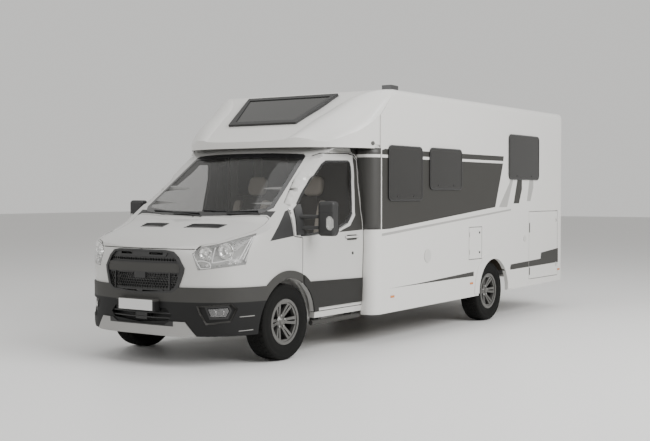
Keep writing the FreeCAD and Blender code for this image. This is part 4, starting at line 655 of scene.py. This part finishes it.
HALF_CAB = 1.03
CAB_LONG = 1.34
CAB_TALL = 2.055
CORNER_SHIFT = math.sin(TURN) * AXLE
LAMP = ((-0.122, 0.506), (-0.072, 0.434), (0.122, 0.446), (0.35, 0.458), (0.377, 0.52), (0.449, 0.593),
        (0.093, 0.548), (-0.054, 0.536))
FOG_LENS = ((0.015, 0.263), (0.186, 0.268), (0.2, 0.255), (0.176, 0.23), (0.043, 0.228))
FOG_POCKET = ((-0.085, 0.276), (0.222, 0.288), (0.276, 0.262), (0.214, 0.204), (-0.004, 0.194), (-0.06, 0.24))
SCREEN_EDGE = ((0, 0.664), (0.42, 0.668), (0.74, 0.682), (0.8, 0.705), (0.705, 0.958), (0.67, 0.968),
               (0.35, 0.973), (0, 0.974))
BAR_FACE = ((0, 0.461), (0.425, 0.461), (0.437, 0.441), (0.428, 0.4215), (0, 0.4215))


def at_corner(shares):
    return [(a * HALF_CAB + CORNER_SHIFT, b * CAB_TALL) for a, b in shares]


def at_front(shares):
    half = [(a * HALF_CAB, b * CAB_TALL) for a, b in shares]
    return half + [(-a, b) for a, b in reversed(half) if a > 0]


def both(thing):
    """Copies a fixed piece of the left side to the right side."""
    copy = thing.copy()
    copy.data = data = thing.data.copy()
    copy.name = thing.name.replace("left", "right")
    scene.collection.objects.link(copy)
    for modifier in list(copy.modifiers):
        if modifier.name not in ("Bevel", "Edges"):
            copy.modifiers.remove(modifier)
    if hasattr(data, "vertices"):
        for vertex in data.vertices:
            vertex.co.x = -vertex.co.x
        data.flip_normals()
    else:
        for spline in data.splines:
            for point in spline.points:
                point.co.x = -point.co.x
    copy.parent = None
    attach(copy, "root")


def pushed(tree, view, a, b, depth):
    """A point a depth behind the surface seen at a and b."""
    return landed(tree, view, a, b) + VIEWS[view][0] * depth


def densified(outline, step):
    points = []
    for first, second in zip(outline, outline[1:] + outline[:1]):
        first, second = Vector(first), Vector(second)
        parts = max(1, int((second - first).length / step))
        points += [tuple(first.lerp(second, index / parts)) for index in range(parts)]
    return points


def tub(name, outline, depth, shrink):
    """A hollow behind a lamp's opening: walls that narrow inwards, and a floor."""
    loops = [densified(inset(outline, gap), 0.02) for gap in (0.003, shrink)]
    count = min(len(loop) for loop in loops)
    bm = bmesh.new()
    lip, base = ([bm.verts.new(pushed(lamp_tree, "corner", *loop[int(index * len(loop) / count)], down))
                  for index in range(count)] for loop, down in zip(loops, (0.004, depth)))
    banded(bm, lip, base)
    bmesh.ops.triangulate(bm, faces=[bm.faces.new(base)])
    return build(name, bm, LAMP_TUB, split=30)


FORWARD = Vector((0.25, -1, 0.02))


def bowl(name, centre, radius, depth, steps=40):
    """A reflector open to the front and a little outwards, with a rolled rim."""
    profile = [(depth * (1 - (share / 8) ** 2) * -1, radius * share / 8) for share in range(1, 9)]
    profile += [(0.003, radius * 1.01), (0.002, radius * 1.05), (-0.004, radius * 1.06)]
    turned = UP.rotation_difference(FORWARD.normalized())
    bm = bmesh.new()
    rows = turned_rows(bm, profile, steps, lambda *spot: Vector(centre) + turned @ Vector(spot))
    for first, second in zip(rows, rows[1:]):
        banded(bm, first, second)
    bm.faces.new(rows[0])
    return build(name, bm, CHROME)


# Two main lamps: place, radius and depth
MAIN_LAMPS = ((-0.006, 0.508, 0.058, 0.035), (0.172, 0.517, 0.07, 0.045))
BULB = [(-0.03, 0.002), (-0.03, 0.016), (0, 0.018), (0.006, 0.012), (0.008, 0.002)]
STRIPS = {
    "edge": ((-0.088, 0.53), (-0.107, 0.512), (-0.109, 0.494), (-0.087, 0.472), (-0.062, 0.452),
             (-0.05, 0.441)),
    "arc": ((-0.087, 0.472), (-0.034, 0.477), (0.006, 0.471), (0.042, 0.463), (0.036, 0.444)),
    "foot": ((-0.05, 0.441), (0.000, 0.442), (0.036, 0.444)),
    "divider": ((0.083, 0.534), (0.064, 0.508), (0.051, 0.467)),
    "long": ((0.051, 0.467), (0.127, 0.472), (0.217, 0.482), (0.28, 0.475)),
}
TIP_BARS = (((0.3, 0.485), (0.345, 0.53), (0.405, 0.575)), ((0.325, 0.48), (0.362, 0.522), (0.425, 0.58)),
            ((0.345, 0.472), (0.372, 0.512), (0.432, 0.582)))
SMALL_LAMPS = ((0.209, 0.464), (0.262, 0.466), (0.01, 0.456))
FOG_BOWLS = ((0.065, 0.246), (0.132, 0.248))

lamp_tree = node_tree("front_lamps")
lamp_outline = at_corner(LAMP)
fog_outline = at_corner(FOG_LENS)


def lamp_path(shares, depth):
    return [pushed(lamp_tree, "corner", a, b, depth) for a, b in at_corner(shares)]


lens = drape("headlamp_lens_left", lamp_tree, "corner", inset(lamp_outline, 0.002), LENS,
             lift=-0.001, thick=0.0025, finest=0.03)
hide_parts("front_lamps")
lamps = [lens, tub("headlamp_tub_left", lamp_outline, 0.052, 0.022)]
for index, (a, b, radius, depth) in enumerate(MAIN_LAMPS):
    spot = lamp_path([(a, b)], 0.034)[0]
    lamps.append(bowl(f"headlamp_bowl_{index}_left", spot, radius, depth))
    lamps.append(lathe(f"headlamp_bulb_{index}_left", BULB, spot, CHROME, axis="y", steps=24, sign=-1))
for label, spots in STRIPS.items():
    lamps.append(tube(f"headlamp_strip_{label}_left", lamp_path(spots, 0.016), 0.0045, LIGHT_STRIP))
for index, spots in enumerate(TIP_BARS):
    lamps.append(tube(f"headlamp_tip_{index}_left", lamp_path(spots, 0.012), 0.006, LIGHT_STRIP))
for index, spot in enumerate(lamp_path(SMALL_LAMPS, 0.02)):
    lamps.append(bowl(f"headlamp_small_{index}_left", spot, 0.013, 0.01, 20))
lamps.append(drape("fog_lens_left", lamp_tree, "corner", inset(fog_outline, 0.001), LENS,
                   lift=-0.0005, finest=0.03))
lamps.append(tub("fog_tub_left", fog_outline, 0.03, 0.008))
for index, spot in enumerate(lamp_path(FOG_BOWLS, 0.014)):
    lamps.append(bowl(f"fog_bowl_{index}_left", spot, 0.026, 0.014, 28))
for piece in lamps:
    both(piece)

# Windscreen border, wipers and vents

screen_tree = node_tree("windscreen")
drape("screen_border", screen_tree, "front", at_front(SCREEN_EDGE), GLOSS, lift=0.0008, thick=0.0006,
      finest=0.035, frame=(0.004, 0.045))
WIPERS = (((-0.62, 1.415), (-0.3, 1.4), (0.06, 1.395)), ((0.08, 1.425), (0.38, 1.405), (0.7, 1.42)))
for index, spots in enumerate(WIPERS):
    tube(f"wiper_blade_{index}", [landed(screen_tree, "front", a, b, 0.014) for a, b in spots], 0.006, RUBBER)
    first, last = (landed(screen_tree, "front", *spots[end], lift) for end, lift in ((1, 0.022), (2, 0.004)))
    base = last + Vector((0.05, -0.04, -0.03))
    bend = (first + base) / 2 + Vector((0, -0.008, 0.006))
    tube(f"wiper_arm_{index}", [first, bend, base], 0.006, PLASTIC)

bonnet_tree = node_tree("bonnet")
VENT = ((0.14, -0.507), (0.33, -0.47), (0.5, -0.43), (0.52, -0.318), (0.34, -0.345), (0.16, -0.38))
RIB_ENDS = ((0.155, -0.507, 0.127), (0.5, -0.43, 0.112))
for side, word in SIDES:
    outline = [(side * a, back(b)) for a, b in VENT]
    drape("bonnet_vent_" + word, bonnet_tree, "top", outline, GLOSS, "bonnet_lid", thick=0.003)
    for index in range(3):
        share = 0.25 + 0.25 * index
        (x, y), (end_x, end_y) = ((a, b + long * share) for a, b, long in RIB_ENDS)
        spots = [(side * (x + (end_x - x) * part), back(y + (end_y - y) * part)) for part in (0, 0.5, 1)]
        path = [landed(bonnet_tree, "top", a, b, 0.006) for a, b in spots]
        tube(f"bonnet_vent_rib_{word}_{index}", path, 0.004, PLASTIC, "bonnet_lid")

# Grille and intake

drape("grille_bar_face", node_tree("grille"), "front", at_front(BAR_FACE), GREY, lift=0.0008,
      thick=0.0008, finest=0.04)
RADIATOR = back(-0.79)
prism("radiator", rectangle(-0.42, 0.69, 0.42, 1.03, 0.02), "y", RADIATOR, RADIATOR + 0.02, FRAME_BLACK,
      edge=0.002)
for index in range(15):
    height = 0.705 + 0.0225 * index
    outline = rectangle(-0.41, height, 0.41, height + 0.004)
    prism(f"radiator_fin_{index}", outline, "y", RADIATOR - 0.004, RADIATOR, STEEL)
for index, height in enumerate((0.448, 0.492)):
    path = [(side * 0.36, back(-0.925 - 0.03 * (1 - side * side)), height) for side in (-1, -0.5, 0, 0.5, 1)]
    tube(f"intake_bar_{index}", path, 0.008, PLASTIC)
prism("intake_box", rectangle(-0.06, 0.425, 0.085, 0.535, 0.006), "y", back(-0.955), back(-0.9), PLASTIC,
      edge=0.003)
prism("intake_back", rectangle(-0.42, 0.38, 0.42, 0.56, 0.02), "y", back(-0.86), back(-0.85), FRAME_BLACK,
      edge=0.002)

bumper_tree = node_tree("front_bumper")
for name, outline, material, frame in (("fog_frame_left", at_corner(FOG_POCKET), GREY, (0, 0.014)),
                                       ("fog_rim_left", fog_outline, PLASTIC, (-0.022, -0.006))):
    both(drape(name, bumper_tree, "corner", outline, material, lift=0.002, thick=0.004, finest=0.03,
               frame=frame))
for index, height in enumerate((0.468, 0.338)):
    strip = placed(((-0.62, height - 0.004), (-0.48, height - 0.001), (-0.48, height + 0.006),
                    (-0.62, height + 0.002)))
    both(drape(f"bumper_line_{index}_left", bumper_tree, "left", strip, SILVER_LIP))

# Upper side of the cab. The frame's solids swell and sink there, so these pieces take their place.

CAB_LOW = 1.36
CAB_HIGH = 2.075
# Height and place across; height, the place where the side begins to turn in, and how fast it does
SIDE_PLACES = ((1.2, 1.03), (1.4, 1.006), (1.7, 0.968), (2.076, 0.944))
SIDE_TURNS = ((1.4, 0.36), (1.469, 0.36), (1.759, 1.18), (2.076, 1.65))
SIDE_SLOPES = ((1.469, 0.8), (1.759, 0.34))
DOOR_SKIN = 0.03
# The frame's own side is measured in cells of this size, and counts from this far out.
CELL = 0.02
INNER_LIMIT = 0.45
SWOLLEN = 1.15


def along(table, place):
    """The value of a table at one place, with straight lines between its rows."""
    if place <= table[0][0]:
        return table[0][1]
    for (first, low), (second, high) in zip(table, table[1:]):
        if place <= second:
            return low + (high - low) * (place - first) / (second - first)
    return table[-1][1]


def share_of(value):
    return min(max(value, 0), 1)


def side_place(y, z):
    """How far out the cab's side lies at a place behind the axle and a height."""
    turned = max(along(SIDE_TURNS, z) - y, 0) * along(SIDE_SLOPES, z)
    return along(SIDE_PLACES, z) - turned * turned


def behind_pillar(y, z):
    """How far a place lies behind the front pillar, as a share from 0 at it to 1 well behind."""
    return share_of((y - (z - CAB_LOW) * 1.15 - 0.1) / 0.25)


packed_side = node_tree("cab_door_left", "cab_glass_left", "cab_shell", "windscreen")
packed_places = {}


def packed_place(column, row):
    """How far out the frame's own side lies in one cell of a grid, as the middle of nine places."""
    if (column, row) not in packed_places:
        starts = [(SIDE * 2, back((column + y_step) * CELL), (row + z_step) * CELL)
                  for y_step in (-0.4, 0.0, 0.4) for z_step in (-0.4, 0.0, 0.4)]
        hits = [packed_side.ray_cast(start, (-1, 0, 0))[0] for start in starts]
        place = sorted(hit.x if hit else 0.0 for hit in hits)[4]
        if place < INNER_LIMIT and behind_pillar(column * CELL, row * CELL) > 0:
            place = SWOLLEN
        packed_places[column, row] = place
    return packed_places[column, row]


def packed_at(y, z):
    column, row = math.floor(y / CELL), math.floor(z / CELL)
    across, up = y / CELL - column, z / CELL - row
    low, high = (packed_place(column, place) * (1 - across) + packed_place(column + 1, place) * across
                 for place in (row, row + 1))
    return low * (1 - up) + high * up


def settled(y, z):
    """The cab's side, which runs from the frame's own surface at the belt into the even form above."""
    packed, even = packed_at(y, z), side_place(y, z)
    if packed < INNER_LIMIT:
        return even
    shift = even - packed
    if shift > 0:
        shift *= behind_pillar(y, z)
    return packed + shift * share_of((z - CAB_LOW) / 0.1)


def side_shell(side, outline, depth, thick):
    """A curved plate in the cab's side: its outer face lies at a depth below the side."""
    bm = bmesh.new()
    corners = row_at(bm, outline, "z", 0)
    edges = [bm.edges.new(pair) for pair in zip(corners, corners[1:] + corners[:1])]
    bmesh.ops.triangle_fill(bm, use_beauty=True, edges=edges)
    refined(bm, 0.03, 8)
    outer = list(bm.faces)
    rims = [edge for edge in bm.edges if edge.is_boundary]
    inner = {}
    for vert in list(bm.verts):
        y, z = vert.co.x, vert.co.y
        place = settled(y - AXLE, z)
        inner[vert] = bm.verts.new((side * (place - depth - thick), y, z))
        vert.co = Vector((side * (place - depth), y, z))
    for face in outer:
        bm.faces.new([inner[vert] for vert in reversed(face.verts)])
    for edge in rims:
        first, second = edge.verts
        bm.faces.new((first, second, inner[second], inner[first]))
    bmesh.ops.recalc_face_normals(bm, faces=bm.faces)
    return bm


def side_piece(name, side, outline, depth, thick, material, body="root"):
    return build(name, side_shell(side, placed(outline), depth, thick), material, body)


# The shell of the cab, with its swollen upper side moved to the even form
mesh = nodes["cab_shell"].data.copy()
for vert in mesh.vertices:
    y, z = vert.co.y - AXLE, vert.co.z
    if not (CAB_LOW < z < CAB_HIGH and -0.05 < y < 1.4 and abs(vert.co.x) > INNER_LIMIT):
        continue
    outer = packed_at(y, z)
    if outer < INNER_LIMIT:
        continue
    depth = outer - abs(vert.co.x)
    vert.co.x += (settled(y, z) - outer) * share_of((0.36 - depth) / 0.32) * (1 if vert.co.x > 0 else -1)
shell = shown("cab_shell_form", mesh, "root")
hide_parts("cab_shell")

# Doors of the cab

DOOR_GLASS_EDGE = ((0.145, 0.574), (0.3, 0.577), (0.612, 0.599), (0.74, 0.626), (0.819, 0.671),
                   (0.838, 0.761), (0.858, 0.86), (0.86, 0.905), (0.854, 0.926), (0.832, 0.936),
                   (0.575, 0.932), (0.52, 0.915), (0.145, 0.725))
DOOR_DARK = ((0.822, 1.196), (1.262, 1.209), (1.262, 1.93), (1.21, 1.975), (1.204, 1.925), (1.208, 1.868),
             (1.206, 1.765), (1.18, 1.556), (1.15, 1.361), (1.036, 1.256), (0.9, 1.222))
# A light strip along the door's rear edge: a painted highlight
DOOR_EDGE_HIGHLIGHT = ((1.264, 1.209), (1.2745, 1.209), (1.2745, 1.925), (1.264, 1.93))
HANDLE_HEIGHT = 1.14
HANDLE_BAY = ((0.975, 1.11), (1.145, 1.11), (1.16, 1.14), (1.145, 1.164), (0.975, 1.164), (0.96, 1.14))
# Places along the grip, with its rise and its lift off the door
GRIP = ((0.945, 0, 0.004), (0.965, 0.002, 0.026), (1.06, 0.004, 0.034), (1.155, 0.002, 0.026),
        (1.175, 0, 0.004))
DOOR_LOCK = [(-0.002, 0.016), (0.003, 0.016), (0.004, 0.011), (0.0035, 0.002)]
# The door's frame above the cut, out and over the window and back, then the window itself
DOOR_FRAME = ((0.083, CAB_LOW), (0.072, 1.441), (0.098, 1.49), (0.641, 1.932), (0.76, 1.989), (1.13, 1.993),
              (1.215, 1.979), (1.276, 1.93), (1.276, CAB_LOW), (1.0756, CAB_LOW), (1.097, 1.379),
              (1.123, 1.564), (1.15, 1.767), (1.152, 1.86), (1.144, 1.903), (1.115, 1.923), (0.77, 1.915),
              (0.697, 1.88), (0.194, 1.49), (0.194, CAB_LOW))
POST_COVER = ((1.2795, 1.937), (1.2795, 2.055), (1.196, 2.055), (1.196, 1.996), (1.222, 1.983))
ROOF_RAIL = ((0.64, 1.942), (0.755, 1.998), (1.13, 2.003), (1.19, 1.996), (1.19, 2.058), (0.8, 2.058),
             (0.7, 2.01))
COVER_PROUD = 0.002
# The upright's round corner: its middle, radius and angles seen from above, its foot and its height
CORNER_MIDDLE = (1.03111715319, 1.40972629246)
CORNER_RADIUS = 0.13075290543
CORNER_TURNS = (-1.49969085019, 0.0756891751959)
CORNER_LOW = 1.212
CORNER_TALL = 0.854


def door_form(side, word):
    """The frame's door up to the belt, with an even window frame above it."""
    bm = bmesh.new()
    bm.from_mesh(nodes["cab_door_" + word].data)
    geometry = list(bm.verts) + list(bm.edges) + list(bm.faces)
    bmesh.ops.bisect_plane(bm, geom=geometry, plane_co=(0, 0, CAB_LOW), plane_no=(0, 0, 1), clear_outer=True)
    upper = side_shell(side, placed(DOOR_FRAME), 0.0, DOOR_SKIN)
    mesh = bpy.data.meshes.new("door_frame")
    upper.to_mesh(mesh)
    upper.free()
    bm.from_mesh(mesh)
    bpy.data.meshes.remove(mesh)
    return build("door_form_" + word, bm, CAB_PAINT, "door_" + word, split=30)


def corner_skin(side, word):
    """The upright's outer face above the belt, from the door's edge round to the body's side."""
    bm = bmesh.new()
    rows = []
    start, end = CORNER_TURNS
    angles = [start + (end - start) * step / 9 for step in range(10)]
    turned = [around(CORNER_MIDDLE, CORNER_RADIUS, angle) for angle in angles]
    first_x, first_y = turned[0]
    for row in range(15):
        z = CORNER_LOW + CORNER_TALL * row / 14
        inner = settled(1.27, z) - 0.004
        spots = [(inner + (first_x - inner) * step / 3, first_y) for step in range(3)]
        rows.append([bm.verts.new((side * x, back(y), z)) for x, y in spots + turned])
    for low, high in zip(rows, rows[1:]):
        banded(bm, low, high, closed=False)
    thing = build("corner_skin_" + word, bm, CORNER_PAINT)
    if thing.data.polygons[0].normal.y > 0:
        thing.data.flip_normals()
    thing.modifiers.new("Thick", "SOLIDIFY").thickness = 0.0012


for side, word in SIDES:
    body = "door_" + word
    door = door_form(side, word)
    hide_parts("cab_door_" + word)
    corner_skin(side, word)
    glass_shares = [(a * CAB_LONG, b * CAB_TALL) for a, b in DOOR_GLASS_EDGE]
    glass = side_piece("door_pane_" + word, side, glass_shares, 0.004, 0.004, DOOR_GLASS, body)
    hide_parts("cab_glass_" + word)
    glass_edge = placed(glass_shares)
    door_tree = tree_of(door.data)
    for name, tree, outline, material, lift, thick, finest, frame in (
            ("seal", door_tree, glass_edge, RUBBER, 0.0008, 0.0012, 0.035, (-0.006, -0.001)),
            ("glass_border", tree_of(glass.data), glass_edge, GLOSS, 0.0006, 0.0006, 0.035, (0.0005, 0.018)),
            ("paint", door_tree, placed(DOOR_DARK), DECAL_DARK, 0.0004, 0.0004, 0.02, None),
            # A painted highlight strip along the door's rear edge
            ("edge_line", door_tree, placed(DOOR_EDGE_HIGHLIGHT), DECAL_LIGHT, 0.0009, 0.0006, 0.02, None)):
        drape(f"door_{name}_{word}", tree, word, outline, material, body, lift, thick, finest, frame)
    side_piece("post_cover_" + word, side, POST_COVER, -COVER_PROUD, 0.003, DECAL_DARK)
    side_piece("roof_rail_" + word, side, ROOF_RAIL, -COVER_PROUD, 0.003, PAINT_SILVER)
    grip = [landed(door_tree, word, back(y), HANDLE_HEIGHT + rise, lift) for y, rise, lift in GRIP]
    tube("door_handle_" + word, grip, 0.0115, PAINT_SILVER, body)
    bay = placed(HANDLE_BAY)
    drape("door_handle_bay_" + word, door_tree, word, bay, GREY, body, 0.0006, 0.0006, finest=0.02)
    lock = landed(door_tree, word, back(1.079), 0.975)
    lathe("door_lock_" + word, DOOR_LOCK, lock, PLASTIC, body, steps=28, sign=side)


# Round lamps on the cap's lower corners, and a backing behind the joint of cap, upright and side wall

CAP_LAMP = Vector((1.1, back(1.345), 2.107))
middle = (CAP_LAMP.dot(VIEWS["corner"][1]), CAP_LAMP.z)
disc = [around(middle, 0.022, step * math.pi / 12) for step in range(24)]
both(drape("cap_lamp_left", node_tree("front_cap", "corner_panels"), "corner", disc, GUNMETAL, thick=0.004))
for side, word in SIDES:
    prism("joint_backing_" + word, rectangle(back(1.34), 2.06, back(1.44), 2.12, 0.01), "x",
          *sorted((side * 1.126, side * 1.134)), PAINT_WHITE)

# Mirrors

MIRROR_LENS = [(1.262, 1.262), (1.285, 1.238), (1.318, 1.236), (1.334, 1.262), (1.334, 1.335), (1.318, 1.366),
               (1.288, 1.37), (1.262, 1.345)]
MIRROR_SEAM = [(1.16, 1.405), (1.334, 1.405), (1.334, 1.399), (1.16, 1.399)]
MIRROR_GLASS = rectangle(1.17, 1.2, 1.322, 1.49, 0.03)
for side, word in SIDES:
    body = "door_" + word
    mirror_tree = node_tree("mirror_" + word)
    for name, outline, material, lift, thick in (
            ("mirror_lamp_", MIRROR_LENS, REFLECTOR, 0.001, 0.002),
            ("mirror_lamp_core_", inset(MIRROR_LENS, 0.014), CHROME, 0.0032, 0.001),
            ("mirror_seam_", MIRROR_SEAM, GLOSS, 0.0005, 0.0008)):
        points = [(side * a, b) for a, b in outline]
        drape(name + word, mirror_tree, "front", points, material, body, lift, thick)
    glass, rim = ([(side * a, b) for a, b in inset(MIRROR_GLASS, gap)] for gap in (0, -0.008))
    prism("mirror_glass_" + word, glass, "y", back(0.3745), back(0.3765), CHROME, body)
    ring("mirror_rim_" + word, rim, 0.007, "y", back(0.3735), back(0.379), PLASTIC, body, 0.001)


# Seats, made as crowned pads

SEAT_LEAN = math.radians(-14)
CUSHION_LEAN = math.radians(-3)


def leaned(centre, lean, spot):
    return Vector(centre) + Matrix.Rotation(lean, 3, "X") @ Vector(spot)


def padding(name, centre, half, lean, crown, material, waist=0.05, channels=(), power=5.0):
    """A pad that is fullest in its middle, drawn in between its corners and sewn across."""
    bm = bmesh.new()
    bmesh.ops.create_cube(bm, size=2.0)
    bmesh.ops.subdivide_edges(bm, edges=bm.edges, cuts=15, use_grid_fill=True)
    for vert in bm.verts:
        u, v, w = vert.co
        size = (abs(u) ** power + abs(v) ** power + abs(w) ** power) ** (1 / power)
        u, v, w = u / size, v / size, w / size
        full = 1 + crown * (1 - u * u) * (1 - v * v)
        groove = sum(0.05 * math.exp(-((v - place) / 0.05) ** 2) for place in channels)
        a, b = u * half[0] * (1 - waist * (1 - v * v)), v * half[1] * (1 - waist * (1 - u * u))
        vert.co = leaned(centre, lean, (a, b, w * half[2] * (full - groove)))
    thing = build(name, bm, material)


def sewn(name, centre, half, lean, material):
    """The piping round the edge of a pad's face."""
    loop = []
    for step in range(40):
        angle = 2 * math.pi * step / 40
        a, b = math.cos(angle), math.sin(angle)
        size = (abs(a) ** 5 + abs(b) ** 5) ** 0.2
        loop.append(leaned(centre, lean, (a / size * half[0], b / size * half[1], half[2])))
    tube(name, loop, 0.0035, material, closed=True)


for side, word in SIDES:
    middle = side * 0.381
    base = prism("seat_base_" + word, placed(((0.6, 0.64), (1.06, 0.64), (1.05, 0.83), (0.62, 0.83))), "x",
                 middle - 0.17, middle + 0.17, PLASTIC, edge=0.012)
    if side > 0:
        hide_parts("cab_seats")
    cushion = (middle, back(0.815), 0.892)
    padding("seat_cushion_" + word, cushion, (0.168, 0.27, 0.05), CUSHION_LEAN, 0.12, CLOTH,
            channels=(-0.5, 0.0, 0.5))
    sewn("seat_cushion_piping_" + word, cushion, (0.15, 0.245, 0.04), CUSHION_LEAN, CREAM)
    edges = [(edge, "%s_%s" % (word, "outer" if edge * side > 0 else "inner")) for edge in (-1, 1)]
    for edge, label in edges:
        padding("seat_side_" + label, (middle + edge * 0.2, back(0.81), 0.905), (0.042, 0.262, 0.05),
                CUSHION_LEAN, 0.1, CREAM, waist=0.02)
        padding("seat_wing_" + label, (middle + edge * 0.19, back(1.15), 1.23), (0.05, 0.05, 0.285),
                SEAT_LEAN, 0.0, CREAM, waist=0.03)
    padding("seat_back_" + word, (middle, back(1.17), 1.215), (0.15, 0.05, 0.34), SEAT_LEAN, 0.0, CLOTH,
            waist=0.03)
    padding("seat_rest_" + word, (middle, back(1.308), 1.665), (0.118, 0.046, 0.108), SEAT_LEAN, 0.0, CREAM,
            waist=0.04, power=3.6)
    for edge, label in edges:
        pin = middle + edge * 0.055
        ends = [(pin, back(1.268), 1.52), (pin, back(1.29), 1.585)]
        tube("seat_pin_" + label, ends, 0.006, STEEL, smooth=False)

# Dashboard

prism("dash_binnacle", placed(((0.33, 1.19), (0.42, 1.215), (0.425, 1.255), (0.3, 1.275), (0.24, 1.24))), "x",
      0.25, 0.512, DASH, edge=0.01)
prism("dash_screen", rectangle(-0.125, 1.135, 0.125, 1.255, 0.01), "y", back(0.4), back(0.412), GLOSS,
      edge=0.003)


# Small parts on the sides

BARREL = [(0, 0.009), (0.008, 0.009), (0.0085, 0.001)]
LOCK_PLACE = 6.075
FLAP_HINGE = 3.448
SMALL_PROUD = 0.006


def side_disc(name, y, z, radius, height, material, body, side):
    profile = [(0, radius), (height * 0.7, radius), (height, radius * 0.9), (height, 0.001)]
    lathe(name, profile, (side * SIDE, back(y), z), material, body, steps=40, sign=side)


def side_plate(name, y, half, low, high, radius, material, body, side):
    """A small upright plate on a side, such as a hinge cover, with round ends."""
    points = rectangle(back(y) - half, low, back(y) + half, high, radius)
    prism(name, points, "x", side * SIDE, side * (SIDE + SMALL_PROUD), material, body, 0.002)


for side, word in SIDES:
    body = "garage_" + word
    for index, (low, high) in enumerate(((1.065, 1.195), (0.5, 0.6))):
        side_plate(f"garage_hinge_{index}_{word}", GARAGE_FRONT + 0.012, 0.009, low, high, 0.008, GREY,
                   body, side)
    for index, height in enumerate((1.215, 0.6)):
        side_plate(f"garage_lock_{index}_{word}", LOCK_PLACE, 0.014, height - 0.03, height + 0.03, 0.01,
                   WHITE, body, side)
        spot = (side * SIDE, back(LOCK_PLACE), height)
        lathe(f"garage_lock_barrel_{index}_{word}", BARREL, spot, STEEL, body, steps=24, sign=side)
    side_disc("round_cap_" + word, 5.022, 0.992, 0.028, 0.004, WHITE, "root", side)
for index, height in enumerate((1.11, 0.87)):
    side_disc(f"flap_lock_{index}", 3.711, height, 0.014, 0.006, PLASTIC, "flap_left", 1)
for index, low in enumerate((1.06, 0.85)):
    side_plate(f"flap_hinge_{index}", FLAP_HINGE, 0.009, low, low + 0.06, 0.008, WHITE, "flap_left", 1)


# Floor, backdrop and light

FLOOR_COLOR = (0.93, 0.925, 0.91)
HALF_FLOOR = 60
floor_pale, tree, bsdf = varied("FloorPale", FLOOR_COLOR, 0, 0.4, 0.45, 0, {})
dim = [channel * 0.985 for channel in FLOOR_COLOR]
feed(tree, bsdf, {"Base Color": mixed(tree, texture(tree, 0.4), (*dim, 1), (*FLOOR_COLOR, 1), "RGBA")})
floor_mesh = bpy.data.meshes.new("Floor")
corners = [(x * HALF_FLOOR, y * HALF_FLOOR, 0) for x, y in ((-1, -1), (1, -1), (1, 1), (-1, 1))]
floor_mesh.from_pydata(corners, [], [(0, 1, 2, 3)])
floor_mesh.materials.append(floor_pale)
floor = bpy.data.objects.new("Floor", floor_mesh)
scene.collection.objects.link(floor)

# The world lights the scene with one tone, and is seen and mirrored in another.
world = bpy.data.worlds.new("World")
scene.world = world
world.use_nodes = True
sky = world.node_tree
sky_light = sky.nodes["Background"]
feed(sky, sky_light, {"Color": (1.0, 0.99, 0.97, 1), "Strength": 0.45})
sky_seen = add(sky, "Background", {"Color": (0.76, 0.755, 0.735, 1), "Strength": 1.0})
rays = add(sky, "LightPath", {}).outputs
seen = maths(sky, "MAXIMUM", *(rays[f"Is {kind} Ray"] for kind in ("Camera", "Glossy", "Transmission")))
sky_mix = add(sky, "MixShader", {"Fac": seen, 1: sky_light.outputs[0], 2: sky_seen.outputs[0]})
feed(sky, sky.nodes["World Output"], {"Surface": sky_mix.outputs[0]})


def lamp(name, place, target, size, power):
    data = bpy.data.lights.new(name, "AREA")
    data.shape = "RECTANGLE"
    data.size, data.size_y = size
    data.energy = power
    aimed(name, data, place, Vector(target) - Vector(place))


lamp("Key", (11, -2, 8), (0, 0, 1.2), (9, 7), 1700)
lamp("Front", (-4, -12, 6), (0, -2, 1.2), (8, 6), 340)
lamp("Top", (0, 0, 12), (0, 0, 0), (10, 14), 500)
